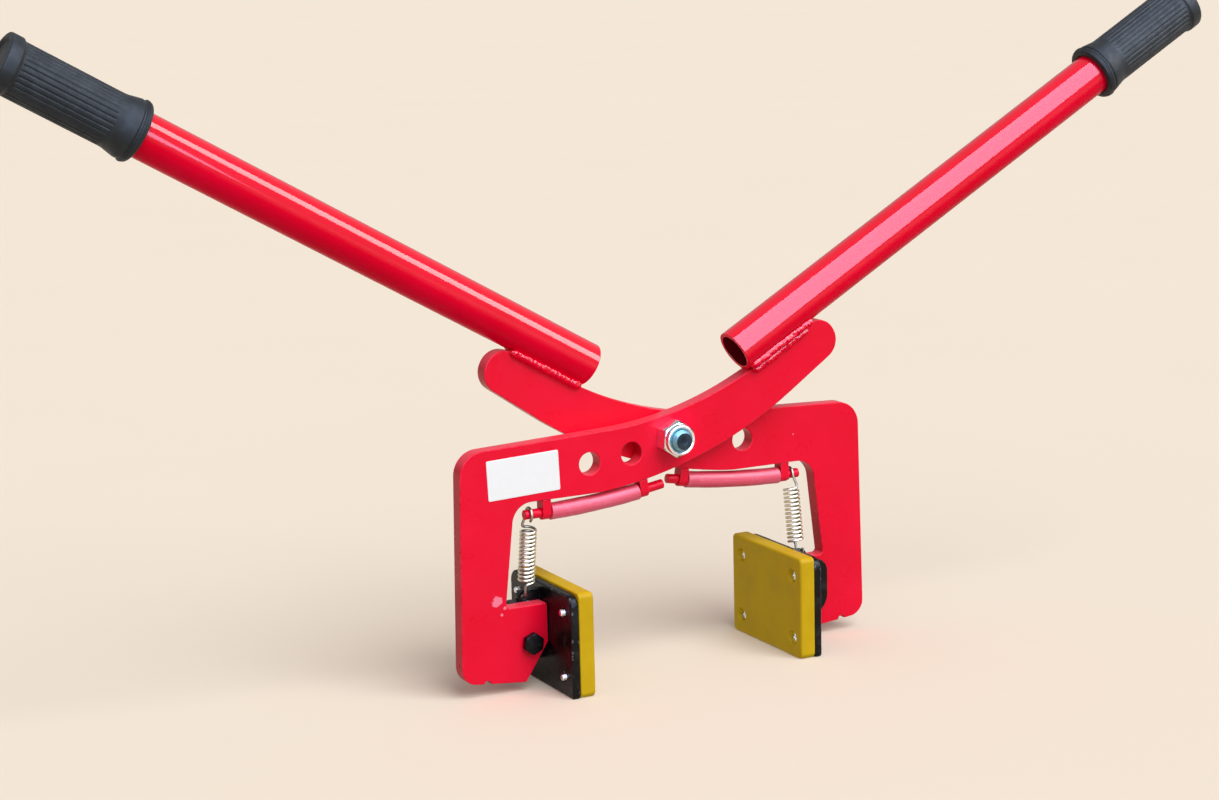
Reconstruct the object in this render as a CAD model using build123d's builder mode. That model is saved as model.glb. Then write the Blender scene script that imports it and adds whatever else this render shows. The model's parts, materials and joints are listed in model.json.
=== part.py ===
from build123d import *
from math import cos, pi, radians, sin, sqrt
import os

# Kerb lifting clamp, in millimetres: two crossed plate arms on one bolt, each with a handle tube above
# and a sprung, padded jaw below. It stands on its jaws at z = 0, and the pivot bolt lies along Y.

# Arm plates
plate_thickness = 12
layer_gap = 1
leg_reach = 167.5
leg_drop = 162
leg_clearance = 9
leg_top_width = 40.8
leg_foot_width = 32
leg_corner = 12
foot_splay = 3.7
heel_rise = 2.6
shoulder_rise = 6.4
shoulder_radius = 18
beam_depth = 40.2
beam_slope = 2.2
armpit_radius = 15
upper_knee_radius = 280
lower_knee_radius = 330
knee_entry_reach = 55.4
knee_entry_angle = 7.5
knee_entry_radius = 100

# Toe at the foot of each leg
toe_reach = 64.2
toe_height = 53.5
toe_corner = 1.5
toe_root_radius = 3
toe_chamfer_height = 25
toe_chamfer_run = 18
toe_drop = 2.6
start_notch_radius = 2.5
start_notch_inset = 19.8

# Holes along the beam: the pivot, then the spare places for it
pivot_fit = 0.5
hole_pitch = 33.8
spare_hole_falls = (14, 10)

# Handle tube, its weld and its grip
handle_angle = 30
handle_offset = 4
arm_end_reach = 152.8
arm_end_width = 29.5
arm_end_taper = 4.6
arm_end_radius = 15
weld_root_gap = 0.8
weld_radius = 3.6
weld_spread = 1
weld_setback = 0.8
weld_end_setback = 12.5
weld_seam = 0.05
tube_diameter = 32
tube_wall = 3
tube_start = 77.5
tube_length = 468
grip_length = 102
grip_diameter = 38
grip_flange_diameter = 44
grip_flange_width = 5
grip_rim_diameter = 41
grip_rim_width = 9
grip_end_wall = 4
grip_edge_radius = 1.2
grip_fit = 0.1

# Bumper rod under the beam, the eyes that carry it and its hose
rod_diameter = 7
rod_leg_gap = 9.7
rod_beam_gap = 6.6
rod_inner_reach = 5.3
rod_rise = 9.1
rod_sag = 2.5
rod_fit = 0.1
tab_radius = 5.2
tab_width = 6.8
tab_height = 14
outer_tab_setbacks = (16.4, 13.6)
inner_tab_setbacks = (16.8, 12.2)
hose_diameter = 12.5
hose_play = 0.3
hose_end_gap = 0.3

# Pivot bolt and its lock nut
bolt_diameter = 16
bolt_hex = 24
bolt_head_height = 10
nut_hex_height = 11.5
nut_collar_diameter = 22.5
nut_collar_height = 4
nut_insert_diameter = 19.4
nut_insert_depth = 3
thread_fit = 0.1
bolt_stand_out = 4
bolt_end_cut = 2
washer_diameter = 30
hex_corner_cut = 1.2
nut_turn = 25

# Jaw bolt through the toe
jaw_bolt_diameter = 8
jaw_bolt_hex = 14
jaw_bolt_head_height = 5.3
jaw_bolt_turn = 22
jaw_nut_height = 6.8
jaw_bolt_tail = 2
jaw_bolt_rise = 26
jaw_bolt_inset = 13.1
jaw_bolt_fit = 0.2
jaw_running_fit = 0.1
jaw_end_play = 0.3

# Jaw: backing plate, lug behind the toe, spring eye and pad
jaw_stop_gap = 0.5
jaw_length = 100
backing_thickness = 6
backing_rise = 12
backing_top_corner = 9
backing_foot_corner = 2
lug_gap = 0.5
lug_thickness = 10
lug_edge = 16.5
lug_top_corner = 10
pad_thickness = 12
pad_rise = 1.5
pad_corner = 4
pad_edge_radius = 2
screw_diameter = 5
screw_head_diameter = 10
screw_head_height = 2.5
screw_sink = 3
screw_tail = 2.6
screw_tip = 0.6
screw_fit = 0.2
screw_pitch_along = 74
screw_pitch_up = 47
eye_radius = 5
eye_hole_diameter = 4.8
eye_thickness = 4
eye_rise = 3
eye_reaches = (12.8, 10.3)

# Return spring of each jaw
wire_diameter = 2
coil_diameter = 12.6
coil_pitch = 2.95
hook_insets = (4.2, 6.7)
hook_play = 0.4
hook_neck = 11
hook_bend = 2.6
hook_shank = 3
hook_tip = 0.6
hook_seat_gap = 0.3
eye_hook_lift = 0.3
upper_hook_end = 230
lower_hook_end = 360

# Blank label on the front shoulder
label_length = 56
label_height = 29
label_corner = 1
label_thickness = 0.3
label_setback = 48.5
label_drop = 20.4

# Sizes that follow from the ones above
pivot_height = leg_drop + leg_clearance
pivot_hole = bolt_diameter + pivot_fit
plate_inner = layer_gap / 2
plate_outer = plate_inner + plate_thickness
plate_middle = plate_inner + plate_thickness / 2
beam_under = shoulder_rise - beam_depth
knee_entry = (-knee_entry_reach, beam_under)
toe_end = toe_reach - leg_reach
toe_top = toe_height - leg_drop
heel = Vector(-leg_reach - foot_splay, heel_rise - leg_drop)
toe_foot = Vector(toe_end - toe_chamfer_run, -leg_drop - toe_drop)
start_notch = heel + (toe_foot - heel).normalized() * start_notch_inset
jaw_pivot = (toe_end - jaw_bolt_inset, jaw_bolt_rise - leg_drop)
backing_face = toe_end + jaw_stop_gap
lug_front = plate_inner - lug_gap
eye_middle = lug_front - eye_thickness / 2
backing_top = toe_top + backing_rise
backing_height = pivot_height + backing_top
pad_face = backing_face + backing_thickness
screw_head_face = pad_face + pad_thickness - screw_sink
tube_axis_offset = handle_offset + tube_diameter / 2
tube_end = tube_start + tube_length
weld_start = tube_start + weld_setback
weld_length = arm_end_reach - weld_end_setback - weld_start
nut_height = nut_hex_height + nut_collar_height
rod_outer_reach = leg_reach - leg_top_width - rod_leg_gap
hook_radius = rod_diameter / 2 + hook_play + wire_diameter / 2
coil_radius = (coil_diameter - wire_diameter) / 2

# How a round blank stands on its plane: centred, rising from it
ON_PLANE = (Align.CENTER, Align.CENTER, Align.MIN)


def arm_plane(side, out=0):
    """Plane of an arm: x from leg to handle, y up, z out of the pair; side is 1 in front, -1 behind."""
    return Plane(origin=(0, -side * out, pivot_height), x_dir=(side, 0, 0), z_dir=(0, -side, 0))


def moved(plane, x, y):
    """The same plane with its origin moved within it."""
    return Plane(plane.from_local_coords((x, y, 0)), plane.x_dir, plane.z_dir)


def handle_point(along, above):
    """Place in an arm's plane, measured from the pivot along the handle and square to it."""
    c, s = cos(radians(handle_angle)), sin(radians(handle_angle))
    return (along * c - above * s, along * s + above * c)


def handle_plane(side, along):
    """Section across the handle tube: x out of the pair, y down towards the arm, z along the handle."""
    arm = arm_plane(side, plate_middle)
    origin = arm.from_local_coords(handle_point(along, tube_axis_offset))
    ahead = arm.from_local_coords(handle_point(along + 1, tube_axis_offset)) - origin
    return Plane(origin=origin, x_dir=arm.z_dir, z_dir=ahead)


def rod_point(side, fraction):
    """Place on the bumper rod's axis at a fraction of its length."""
    return arm_plane(side, plate_middle).from_local_coords(rod_line @ fraction)


def rod_plane(side, fraction):
    """Section across the bumper rod at a fraction of its length: x out of the pair, y down."""
    arm = arm_plane(side, plate_middle)
    ahead = arm.from_local_coords(rod_line @ fraction + rod_line % fraction)
    return Plane(rod_point(side, fraction), arm.z_dir, ahead - rod_point(side, fraction))


def jaw_plane(side, reach):
    """Plane across a jaw at the arm's own x = reach: x along the jaw, y up from the floor, z to the load."""
    arm = arm_plane(side)
    return Plane(origin=arm.from_local_coords((reach, -pivot_height, 0)), x_dir=-arm.z_dir, z_dir=arm.x_dir)


def screw_planes(side, reach):
    """Planes across a jaw's four pad screws at the arm's own x = reach, with z to the load."""
    middle = moved(jaw_plane(side, reach), 0, backing_height / 2)
    offsets = [(along, up) for along in (-0.5, 0.5) for up in (-0.5, 0.5)]
    return [moved(middle, along * screw_pitch_along, up * screw_pitch_up) for along, up in offsets]


def screw_shapes(side, fit, mode):
    """A jaw's four pad screws, wider by a fit, added to the part in hand or cut from it."""
    shank = screw_diameter / 2 + fit
    with Locations(*screw_planes(side, backing_face - screw_tail)):
        Cylinder(shank, screw_head_face - backing_face + screw_tail, align=ON_PLANE, mode=mode)
    with Locations(*screw_planes(side, screw_head_face - screw_head_height)):
        Cone(shank, screw_head_diameter / 2 + fit, screw_head_height, align=ON_PLANE, mode=mode)


def crossing(point, angle, other, other_angle):
    """Where two lines meet, each given by a point and its angle in degrees."""
    (x, y), (u, v) = point, other
    a, b = radians(angle), radians(other_angle)
    run = ((u - x) * sin(b) - (v - y) * cos(b)) / sin(b - a)
    return (x + run * cos(a), y + run * sin(a))


def arm_end():
    """Upper and lower corner of an arm's end, before it is rounded."""
    top = handle_offset - weld_root_gap
    return handle_point(arm_end_reach, top), handle_point(arm_end_reach, top - arm_end_width)


def lower_knee():
    """Corner of an arm's lower edge, where it turns up to the handle, before it is rounded."""
    return crossing(knee_entry, knee_entry_angle, arm_end()[1], handle_angle + arm_end_taper)


def arm_outline():
    """Corners of an arm plate about the pivot, each with its radius."""
    shoulder = (-leg_reach, shoulder_rise)
    end_top, end_bottom = arm_end()
    armpit = (leg_top_width - leg_reach, beam_under)
    toe_root = (leg_foot_width - leg_reach, toe_top)
    return [
        (heel, leg_corner),
        (shoulder, shoulder_radius),
        (crossing(shoulder, beam_slope, end_top, handle_angle), upper_knee_radius),
        (end_top, min(arm_end_radius, arm_end_width / 2)),
        (end_bottom, min(arm_end_radius, arm_end_width / 2)),
        (lower_knee(), lower_knee_radius),
        (knee_entry, knee_entry_radius),
        (armpit, armpit_radius),
        (toe_root, toe_root_radius),
        ((toe_end, toe_top), toe_corner),
        ((toe_end, toe_chamfer_height - leg_drop), toe_corner),
        (toe_foot, toe_corner),
    ]


def hex_blank(plane, across_flats, height, turn=0):
    """A hexagon standing on the plane, turned in it by some degrees, with the corners of its far end cut."""
    with BuildSketch(plane) as disc:
        Circle(across_flats / sqrt(3))
    extrude(disc.sketch, amount=height)
    chamfer(edges().group_by(Axis(plane.origin, plane.z_dir))[-1], hex_corner_cut)
    with BuildSketch(plane) as hexagon:
        RegularPolygon(across_flats / 2, 6, major_radius=False, rotation=turn)
    extrude(hexagon.sketch, amount=height, mode=Mode.INTERSECT)


def biarc(start, start_way, end, end_way):
    """Two arcs, tangent to each other, from one point and direction to another."""
    chord = end - start
    both = start_way + end_way
    across, along = 4 - both.dot(both), chord.dot(both)
    reach = (sqrt(along**2 + across * chord.dot(chord)) - along) / across
    first, second = start + start_way * reach, end - end_way * reach
    middle = (first + second) / 2
    TangentArc(start, middle, tangent=start_way)
    TangentArc(middle, end, tangent=second - first)


def own(side, pair):
    """The value for the front arm and the left jaw, or for the rear arm and the right jaw."""
    return pair[0] if side > 0 else pair[1]


def eye_place(side):
    """Middle of a jaw's spring eye, about the pivot."""
    return backing_face - own(side, eye_reaches), toe_top + eye_rise


def spring_stations(side):
    """Points and directions along a jaw spring's wire, from its upper hook's tip to its lower hook's tip."""
    arm = arm_plane(side, plate_middle)
    hung = rod_line @ (own(side, hook_insets) / rod_line.length)
    top = hung + Vector(0, rod_diameter / 2 + hook_seat_gap + wire_diameter / 2 - hook_radius)
    eye_x, eye_y = eye_place(side)
    foot = Vector(eye_x + hook_bend, eye_y + eye_hook_lift + hook_radius, eye_middle - plate_middle)
    along = (top - foot).normalized()
    across = (Vector(1, 0, 0) - along * along.X).normalized()
    behind = along.cross(across)
    upper = (top - foot).length
    coil_top, coil_bottom = upper - hook_neck, hook_bend + hook_shank
    coil_turns = int((coil_top - coil_bottom) / coil_pitch - 0.5) + 0.5
    pitch = (coil_top - coil_bottom) / coil_turns

    def in_arm(a, b, up):
        return arm.from_local_coords(foot + across * a + behind * b + along * up)

    def station(a, b, up, way):
        place = in_arm(a, b, up)
        return place, (in_arm(a + way[0], b + way[1], up + way[2]) - place).normalized()

    def hook(aside, centre, degrees, turn):
        angle = radians(degrees)
        way = (0, -turn * sin(angle), turn * cos(angle))
        return station(aside, hook_radius * cos(angle), centre + hook_radius * sin(angle), way)

    def straight_on(from_station, reach):
        return from_station[0] + from_station[1] * reach, from_station[1]

    upper_end, lower_end = hook(0, upper, upper_hook_end, -1), hook(-hook_bend, 0, lower_hook_end, 1)
    stations = [straight_on(upper_end, -hook_tip), upper_end]
    stations += [hook(0, upper, degrees, -1) for degrees in (180, 90, 0)]
    for half in range(int(2 * coil_turns) + 1):
        turn = half * pi
        way = (coil_radius * cos(turn), -coil_radius * sin(turn), -pitch / (2 * pi))
        depth = coil_top - pitch * half / 2
        stations.append(station(coil_radius * sin(turn), coil_radius * cos(turn), depth, way))
    lower_start = hook(-hook_bend, 0, 180, 1)
    stations += [straight_on(lower_start, -hook_shank), lower_start, hook(-hook_bend, 0, 270, 1)]
    stations += [lower_end, straight_on(lower_end, hook_tip)]
    return stations


def self_gap(wire):
    """Least gap, surface to surface, between stretches of the wire that aren't neighbours along it."""
    count = int(wire.length)
    points = [wire @ (i / count) for i in range(count + 1)]
    apart = int(2 * pi * wire_diameter)
    return min(
        (points[i] - points[j]).length for i in range(count + 1) for j in range(i + apart, count + 1)
    ) - wire_diameter


os.makedirs("parts", exist_ok=True)


def save(piece, name):
    """Label a finished piece and write it to its own file."""
    piece.part.label = name
    export_step(piece.part, f"parts/{name}.step")


rod_outer = Vector(-rod_outer_reach, beam_under - rod_beam_gap - rod_diameter / 2)
rod_inner = rod_outer + Vector(rod_outer_reach - rod_inner_reach, rod_rise)
rod_down = (rod_inner - rod_outer).normalized().rotate(Axis.Z, -90)
rod_line = ThreePointArc(rod_outer, (rod_outer + rod_inner) / 2 + rod_down * rod_sag, rod_inner)
half_tab = (tab_width / 2) / rod_line.length
hose_gap = hose_end_gap / rod_line.length

for side, arm, jaw in ((1, "front", "left"), (-1, "rear", "right")):
    towards_load = Axis((0, 0, 0), (side, 0, 0))
    outer_tab = own(side, outer_tab_setbacks) / rod_line.length
    inner_tab = 1 - own(side, inner_tab_setbacks) / rod_line.length

    # Arm plate with its row of pivot holes and the hole for the jaw bolt
    with BuildPart() as plate:
        with BuildSketch(arm_plane(side, plate_inner)):
            with BuildLine():
                corners = arm_outline()
                FilletPolyline(*[place for place, _ in corners], radius=[r for _, r in corners], close=True)
            make_face()
            spare_holes = [
                (-k * hole_pitch * cos(radians(fall)), -k * hole_pitch * sin(radians(fall)))
                for k, fall in enumerate(spare_hole_falls, 1)
            ]
            with Locations((0, 0), *spare_holes):
                Circle(pivot_hole / 2, mode=Mode.SUBTRACT)
            with Locations(jaw_pivot):
                Circle(jaw_bolt_diameter / 2 + jaw_bolt_fit, mode=Mode.SUBTRACT)
            with Locations(start_notch):
                Circle(start_notch_radius, mode=Mode.SUBTRACT)
        extrude(amount=plate_thickness)
    save(plate, f"{arm}_arm_plate")

    # Handle tube, open at its inner end
    with BuildPart() as tube:
        with BuildSketch(handle_plane(side, tube_start)):
            Circle(tube_diameter / 2)
            Circle(tube_diameter / 2 - tube_wall, mode=Mode.SUBTRACT)
        extrude(amount=tube_length)
    save(tube, f"{arm}_handle_tube")

    # Weld beads in the corners between the tube and the arm's two faces
    with BuildPart() as weld:
        with BuildSketch(handle_plane(side, weld_start)):
            edge_level = tube_diameter / 2 + weld_root_gap
            bead_out = plate_thickness / 2 + weld_spread
            with Locations((bead_out, edge_level), (-bead_out, edge_level)):
                Circle(weld_radius)
            Circle(tube_diameter / 2 + weld_seam, mode=Mode.SUBTRACT)
        extrude(amount=weld_length)
        add(plate.part, mode=Mode.SUBTRACT)
    save(weld, f"{arm}_handle_weld")

    # Rubber grip with a flange at its mouth and a closed, thicker end
    with BuildPart() as grip:
        mouth = tube_end + grip_end_wall - grip_length
        with BuildSketch(handle_plane(side, mouth)):
            Circle(grip_diameter / 2)
        extrude(amount=grip_length)
        with BuildSketch(handle_plane(side, mouth)):
            Circle(grip_flange_diameter / 2)
        extrude(amount=grip_flange_width)
        with BuildSketch(handle_plane(side, mouth + grip_length - grip_rim_width)):
            Circle(grip_rim_diameter / 2)
        extrude(amount=grip_rim_width)
        fillet(grip.edges().filter_by(GeomType.CIRCLE).sort_by(SortBy.RADIUS)[-4:], grip_edge_radius)
        with BuildSketch(handle_plane(side, mouth)):
            Circle(tube_diameter / 2 + grip_fit)
        extrude(amount=grip_length - grip_end_wall, mode=Mode.SUBTRACT)
    save(grip, f"{arm}_grip")

    # Bumper rod, bowed down a little between its eyes
    with BuildPart() as rod:
        with BuildLine() as rod_path:
            ThreePointArc(*[rod_point(side, fraction) for fraction in (0, 0.5, 1)])
        with BuildSketch(rod_plane(side, 0)):
            Circle(rod_diameter / 2)
        sweep(path=rod_path.line)
    save(rod, f"{arm}_bumper_rod")

    # Eyes welded under the beam, which the rod passes through
    with BuildPart() as tabs:
        for fraction in (outer_tab, inner_tab):
            with BuildSketch(rod_plane(side, fraction)):
                Circle(tab_radius)
                Rectangle(2 * tab_radius, tab_height, align=(Align.CENTER, Align.MAX))
                Circle(rod_diameter / 2 + rod_fit, mode=Mode.SUBTRACT)
            extrude(amount=tab_width / 2, both=True)
        add(plate.part, mode=Mode.SUBTRACT)
    save(tabs, f"{arm}_rod_eyes")

    # Hose on the rod between the eyes
    with BuildPart() as hose:
        first, last = outer_tab + half_tab + hose_gap, inner_tab - half_tab - hose_gap
        with BuildLine() as hose_path:
            ThreePointArc(*[rod_point(side, fraction) for fraction in (first, (first + last) / 2, last)])
        with BuildSketch(rod_plane(side, first)):
            Circle(hose_diameter / 2)
            Circle(rod_diameter / 2 + hose_play, mode=Mode.SUBTRACT)
        sweep(path=hose_path.line)
    save(hose, f"{arm}_bumper_hose")

    # Jaw bolt, headed on the toe's outer face, and its nut behind the lug
    lug_back = lug_front - lug_thickness
    nut_face = lug_back - jaw_end_play
    with BuildPart() as jaw_bolt:
        head_plane = moved(arm_plane(side, plate_outer), *jaw_pivot)
        hex_blank(head_plane, jaw_bolt_hex, jaw_bolt_head_height, jaw_bolt_turn)
        with BuildSketch(moved(arm_plane(side, nut_face - jaw_nut_height - jaw_bolt_tail), *jaw_pivot)):
            Circle(jaw_bolt_diameter / 2)
        extrude(amount=plate_outer - nut_face + jaw_nut_height + jaw_bolt_tail)
    save(jaw_bolt, f"{jaw}_jaw_bolt")

    with BuildPart() as jaw_nut:
        nut_plane = moved(arm_plane(side, nut_face), *jaw_pivot)
        nut_back = Plane(nut_plane.origin, nut_plane.x_dir, -nut_plane.z_dir)
        hex_blank(nut_back, jaw_bolt_hex, jaw_nut_height)
        with BuildSketch(nut_back):
            Circle(jaw_bolt_diameter / 2 + thread_fit)
        extrude(amount=jaw_nut_height, mode=Mode.SUBTRACT)
    save(jaw_nut, f"{jaw}_jaw_nut")

    # Backing plate of the jaw
    with BuildPart() as backing:
        with BuildSketch(moved(jaw_plane(side, backing_face), 0, backing_height / 2)) as outline:
            Rectangle(jaw_length, backing_height)
            fillet(outline.vertices().group_by(Axis.Y)[-1], backing_top_corner)
            fillet(outline.vertices().group_by(Axis.Y)[0], backing_foot_corner)
        extrude(amount=backing_thickness)
        screw_shapes(side, screw_fit, Mode.SUBTRACT)
    save(backing, f"{jaw}_backing_plate")

    # Lug on the backing plate, which turns on the jaw bolt behind the toe
    with BuildPart() as lug:
        lug_outer = jaw_pivot[0] - lug_edge
        lug_bottom = jaw_pivot[1] - lug_edge
        with BuildSketch(arm_plane(side, lug_back)):
            with BuildLine():
                FilletPolyline(
                    (backing_face, toe_top),
                    (lug_outer, toe_top),
                    (lug_outer, lug_bottom),
                    (backing_face, lug_bottom),
                    radius=(0, lug_top_corner, lug_edge, 0),
                    close=True,
                )
            make_face()
            with Locations(jaw_pivot):
                Circle(jaw_bolt_diameter / 2 + jaw_running_fit, mode=Mode.SUBTRACT)
        extrude(amount=lug_thickness)
    save(lug, f"{jaw}_jaw_lug")

    # Eye that the spring hooks into, standing on the lug against the backing plate
    with BuildPart() as eye:
        with BuildSketch(arm_plane(side, eye_middle)):
            eye_reach = own(side, eye_reaches)
            with Locations(eye_place(side)):
                Circle(eye_radius)
            with Locations((backing_face, toe_top)):
                Rectangle(eye_reach, eye_rise + eye_radius, align=(Align.MAX, Align.MIN))
                below = (Align.MAX, Align.MAX)
                Rectangle(eye_reach + eye_radius, eye_radius, align=below, mode=Mode.SUBTRACT)
            with Locations(eye_place(side)):
                Circle(eye_hole_diameter / 2, mode=Mode.SUBTRACT)
        extrude(amount=eye_thickness / 2, both=True)
    save(eye, f"{jaw}_spring_eye")

    # Pad that grips the load, with deep countersinks for its screws
    pad_height = backing_height + pad_rise
    with BuildPart() as pad:
        with BuildSketch(moved(jaw_plane(side, pad_face), 0, pad_height / 2)):
            RectangleRounded(jaw_length, pad_height, pad_corner)
        extrude(amount=pad_thickness)
        fillet(pad.faces().sort_by(towards_load)[-1].edges(), pad_edge_radius)
        screw_shapes(side, screw_fit, Mode.SUBTRACT)
        with Locations(*screw_planes(side, screw_head_face)):
            Cylinder(screw_head_diameter / 2 + screw_fit, screw_sink, align=ON_PLANE, mode=Mode.SUBTRACT)
    save(pad, f"{jaw}_pad")

    # Countersunk screws put in from the pad's face, with their ends standing out behind the backing plate
    with BuildPart() as screws:
        screw_shapes(side, 0, Mode.ADD)
        tips = screws.edges().filter_by(GeomType.CIRCLE).group_by(towards_load)[0]
        chamfer(tips, screw_tip)
    save(screws, f"{jaw}_pad_screws")

    # Return spring, one wire from hook to hook
    with BuildPart() as spring:
        stations = spring_stations(side)
        with BuildLine() as wire_path:
            for (start, start_way), (end, end_way) in zip(stations, stations[1:]):
                if (end - start).cross(start_way).length < 1e-6:
                    Line(start, end)
                else:
                    biarc(start, start_way, end, end_way)
        with BuildSketch(Plane(origin=stations[0][0], z_dir=stations[0][1])):
            Circle(wire_diameter / 2)
        sweep(path=wire_path.wires()[0])
    print(f"{jaw} spring: least gap to itself {self_gap(wire_path.wires()[0]):.2f} mm")
    save(spring, f"{jaw}_jaw_spring")

# Pivot bolt, headed behind the rear arm
with BuildPart() as pivot_bolt:
    rear_face = arm_plane(-1, plate_outer)
    hex_blank(rear_face, bolt_hex, bolt_head_height)
    with BuildSketch(rear_face):
        Circle(bolt_diameter / 2)
    extrude(amount=-(2 * plate_outer + nut_height + bolt_stand_out))
    chamfer(pivot_bolt.edges().group_by(Axis(rear_face.origin, rear_face.z_dir))[0], bolt_end_cut)
save(pivot_bolt, "pivot_bolt")

# Lock nut on the front arm: hexagon, collar and the ring that grips the thread
with BuildPart() as pivot_nut:
    front_face = arm_plane(1, plate_outer)
    hex_blank(front_face, bolt_hex, nut_hex_height, nut_turn)
    with BuildSketch(front_face):
        Circle(nut_collar_diameter / 2)
    extrude(amount=nut_height)
    fillet(pivot_nut.edges().group_by(Axis(front_face.origin, front_face.z_dir))[-1], hex_corner_cut)
    with BuildSketch(front_face):
        Circle(bolt_diameter / 2 + thread_fit)
    extrude(amount=nut_height, mode=Mode.SUBTRACT)
    with BuildSketch(arm_plane(1, plate_outer + nut_height - nut_insert_depth)):
        Circle(nut_insert_diameter / 2)
    extrude(amount=nut_insert_depth, mode=Mode.SUBTRACT)
save(pivot_nut, "pivot_nut")

with BuildPart() as nut_insert:
    with BuildSketch(arm_plane(1, plate_outer + nut_height - nut_insert_depth)):
        Circle(nut_insert_diameter / 2 - thread_fit)
        Circle(bolt_diameter / 2 + thread_fit, mode=Mode.SUBTRACT)
    extrude(amount=nut_insert_depth - thread_fit)
save(nut_insert, "pivot_nut_insert")

# Thin washer that keeps the two arms apart
with BuildPart() as washer:
    with BuildSketch(arm_plane(1, -plate_inner)):
        Circle(washer_diameter / 2)
        Circle(pivot_hole / 2, mode=Mode.SUBTRACT)
    extrude(amount=layer_gap)
save(washer, "pivot_washer")

# Blank label on the front arm's shoulder
with BuildPart() as label:
    label_centre = (label_setback - leg_reach, shoulder_rise - label_drop)
    with BuildSketch(moved(arm_plane(1, plate_outer), *label_centre)):
        with Locations(Rotation(0, 0, beam_slope)):
            RectangleRounded(label_length, label_height, label_corner)
    extrude(amount=label_thickness)
save(label, "blank_label")
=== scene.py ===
# %% [markdown]
# # Kerb lifting clamp
# Two arms, flame-cut from plate, cross on one bolt. Lifting the handle tubes closes two sprung jaws on
# the load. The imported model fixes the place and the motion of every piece, so this lesson is about the
# rest: the small forms, such as weld ripples, threads and ribs, and the finish that each surface has.

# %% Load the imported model
import json
from math import atan2, cos, pi, radians, sin, sqrt, tan

import bmesh
import bpy
from mathutils import Matrix, Vector

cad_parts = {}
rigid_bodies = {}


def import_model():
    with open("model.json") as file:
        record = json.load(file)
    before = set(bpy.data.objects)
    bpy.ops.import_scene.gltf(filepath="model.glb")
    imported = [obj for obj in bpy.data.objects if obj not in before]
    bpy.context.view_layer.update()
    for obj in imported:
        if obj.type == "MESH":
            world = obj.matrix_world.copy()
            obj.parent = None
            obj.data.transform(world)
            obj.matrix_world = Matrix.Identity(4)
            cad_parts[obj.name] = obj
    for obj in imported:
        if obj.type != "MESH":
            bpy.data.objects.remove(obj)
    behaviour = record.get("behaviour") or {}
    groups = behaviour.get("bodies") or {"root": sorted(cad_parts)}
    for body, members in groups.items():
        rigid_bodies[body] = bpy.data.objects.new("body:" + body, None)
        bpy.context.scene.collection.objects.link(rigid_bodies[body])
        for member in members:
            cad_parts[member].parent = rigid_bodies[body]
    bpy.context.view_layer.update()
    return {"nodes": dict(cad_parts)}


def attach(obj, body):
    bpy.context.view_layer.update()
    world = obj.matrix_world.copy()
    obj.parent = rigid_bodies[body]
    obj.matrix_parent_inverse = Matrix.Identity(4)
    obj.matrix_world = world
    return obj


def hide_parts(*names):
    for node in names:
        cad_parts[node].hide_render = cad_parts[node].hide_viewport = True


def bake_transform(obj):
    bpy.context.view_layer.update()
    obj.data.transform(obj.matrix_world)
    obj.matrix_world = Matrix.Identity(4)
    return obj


for leftover in list(bpy.data.objects):
    bpy.data.objects.remove(leftover)
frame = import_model()

# %% [markdown]
# ## Camera
# The view was worked out from the arms themselves: one arm is the other turned half round, so their
# corners, holes and tubes give the place, the turn and the focal length. A camera could also be aimed
# with a Track To constraint, but the roll would be lost, so its three directions are written into a
# matrix.

# %% Camera
EYE = Vector((-0.8759, -1.6295, 0.5495))
AZIMUTH, ELEVATION, ROLL = radians(-27.068), radians(10.784), radians(1.398)
IMAGE_WIDTH, FOCAL_PIXELS = 1219, 2598.3
UP = Vector((0, 0, 1))


def put(name, data):
    """A new object in the scene."""
    made = bpy.data.objects.new(name, data)
    bpy.context.scene.collection.objects.link(made)
    return made


back = Vector((sin(AZIMUTH) * cos(ELEVATION), -cos(AZIMUTH) * cos(ELEVATION), sin(ELEVATION)))
level = (-back).cross(UP).normalized()
right = cos(ROLL) * level + sin(ROLL) * (-back).cross(level)
lens = bpy.data.cameras.new("camera")
lens.sensor_width = 36
lens.lens = lens.sensor_width * FOCAL_PIXELS / IMAGE_WIDTH
camera = put("camera", lens)
turn = Matrix((right, back.cross(right), back)).transposed().to_4x4()
camera.matrix_world = Matrix.Translation(EYE) @ turn
bpy.context.scene.camera = camera
print(f"camera at {tuple(EYE)}, lens {lens.lens:.1f} mm")

# %% [markdown]
# ## Sums with sockets
# A finish is mostly arithmetic on textures. Clicking Math nodes together hides that arithmetic, so a
# socket is wrapped in a small class, and Python's own signs add the Math nodes. All other nodes come
# from one method.

# %% Sockets that take part in sums
def feed(tree, socket, value):
    """Link a wrapped socket into another one, or set a plain value on it."""
    if isinstance(value, Flow):
        tree.links.new(value.socket, socket)
    else:
        socket.default_value = value


def sign(operation):
    """The two methods for one of Python's signs, with a wrapped socket on its left or on its right."""

    def on_left(self, other):
        return self.sum(operation, self, other)

    def on_right(self, other):
        return self.sum(operation, other, self)

    return on_left, on_right


class Flow:
    """A node's output as a number in a sum."""

    def __init__(self, tree, socket):
        self.tree = tree
        self.socket = socket

    def sum(self, operation, *terms):
        node = self.tree.nodes.new("ShaderNodeMath")
        node.operation = operation
        for socket, term in zip(node.inputs, terms):
            feed(self.tree, socket, term)
        return Flow(self.tree, node.outputs[0])

    __add__, __radd__ = sign("ADD")
    __sub__, __rsub__ = sign("SUBTRACT")
    __mul__, __rmul__ = sign("MULTIPLY")
    __truediv__, __rtruediv__ = sign("DIVIDE")
    __pow__, __rpow__ = sign("POWER")


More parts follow.
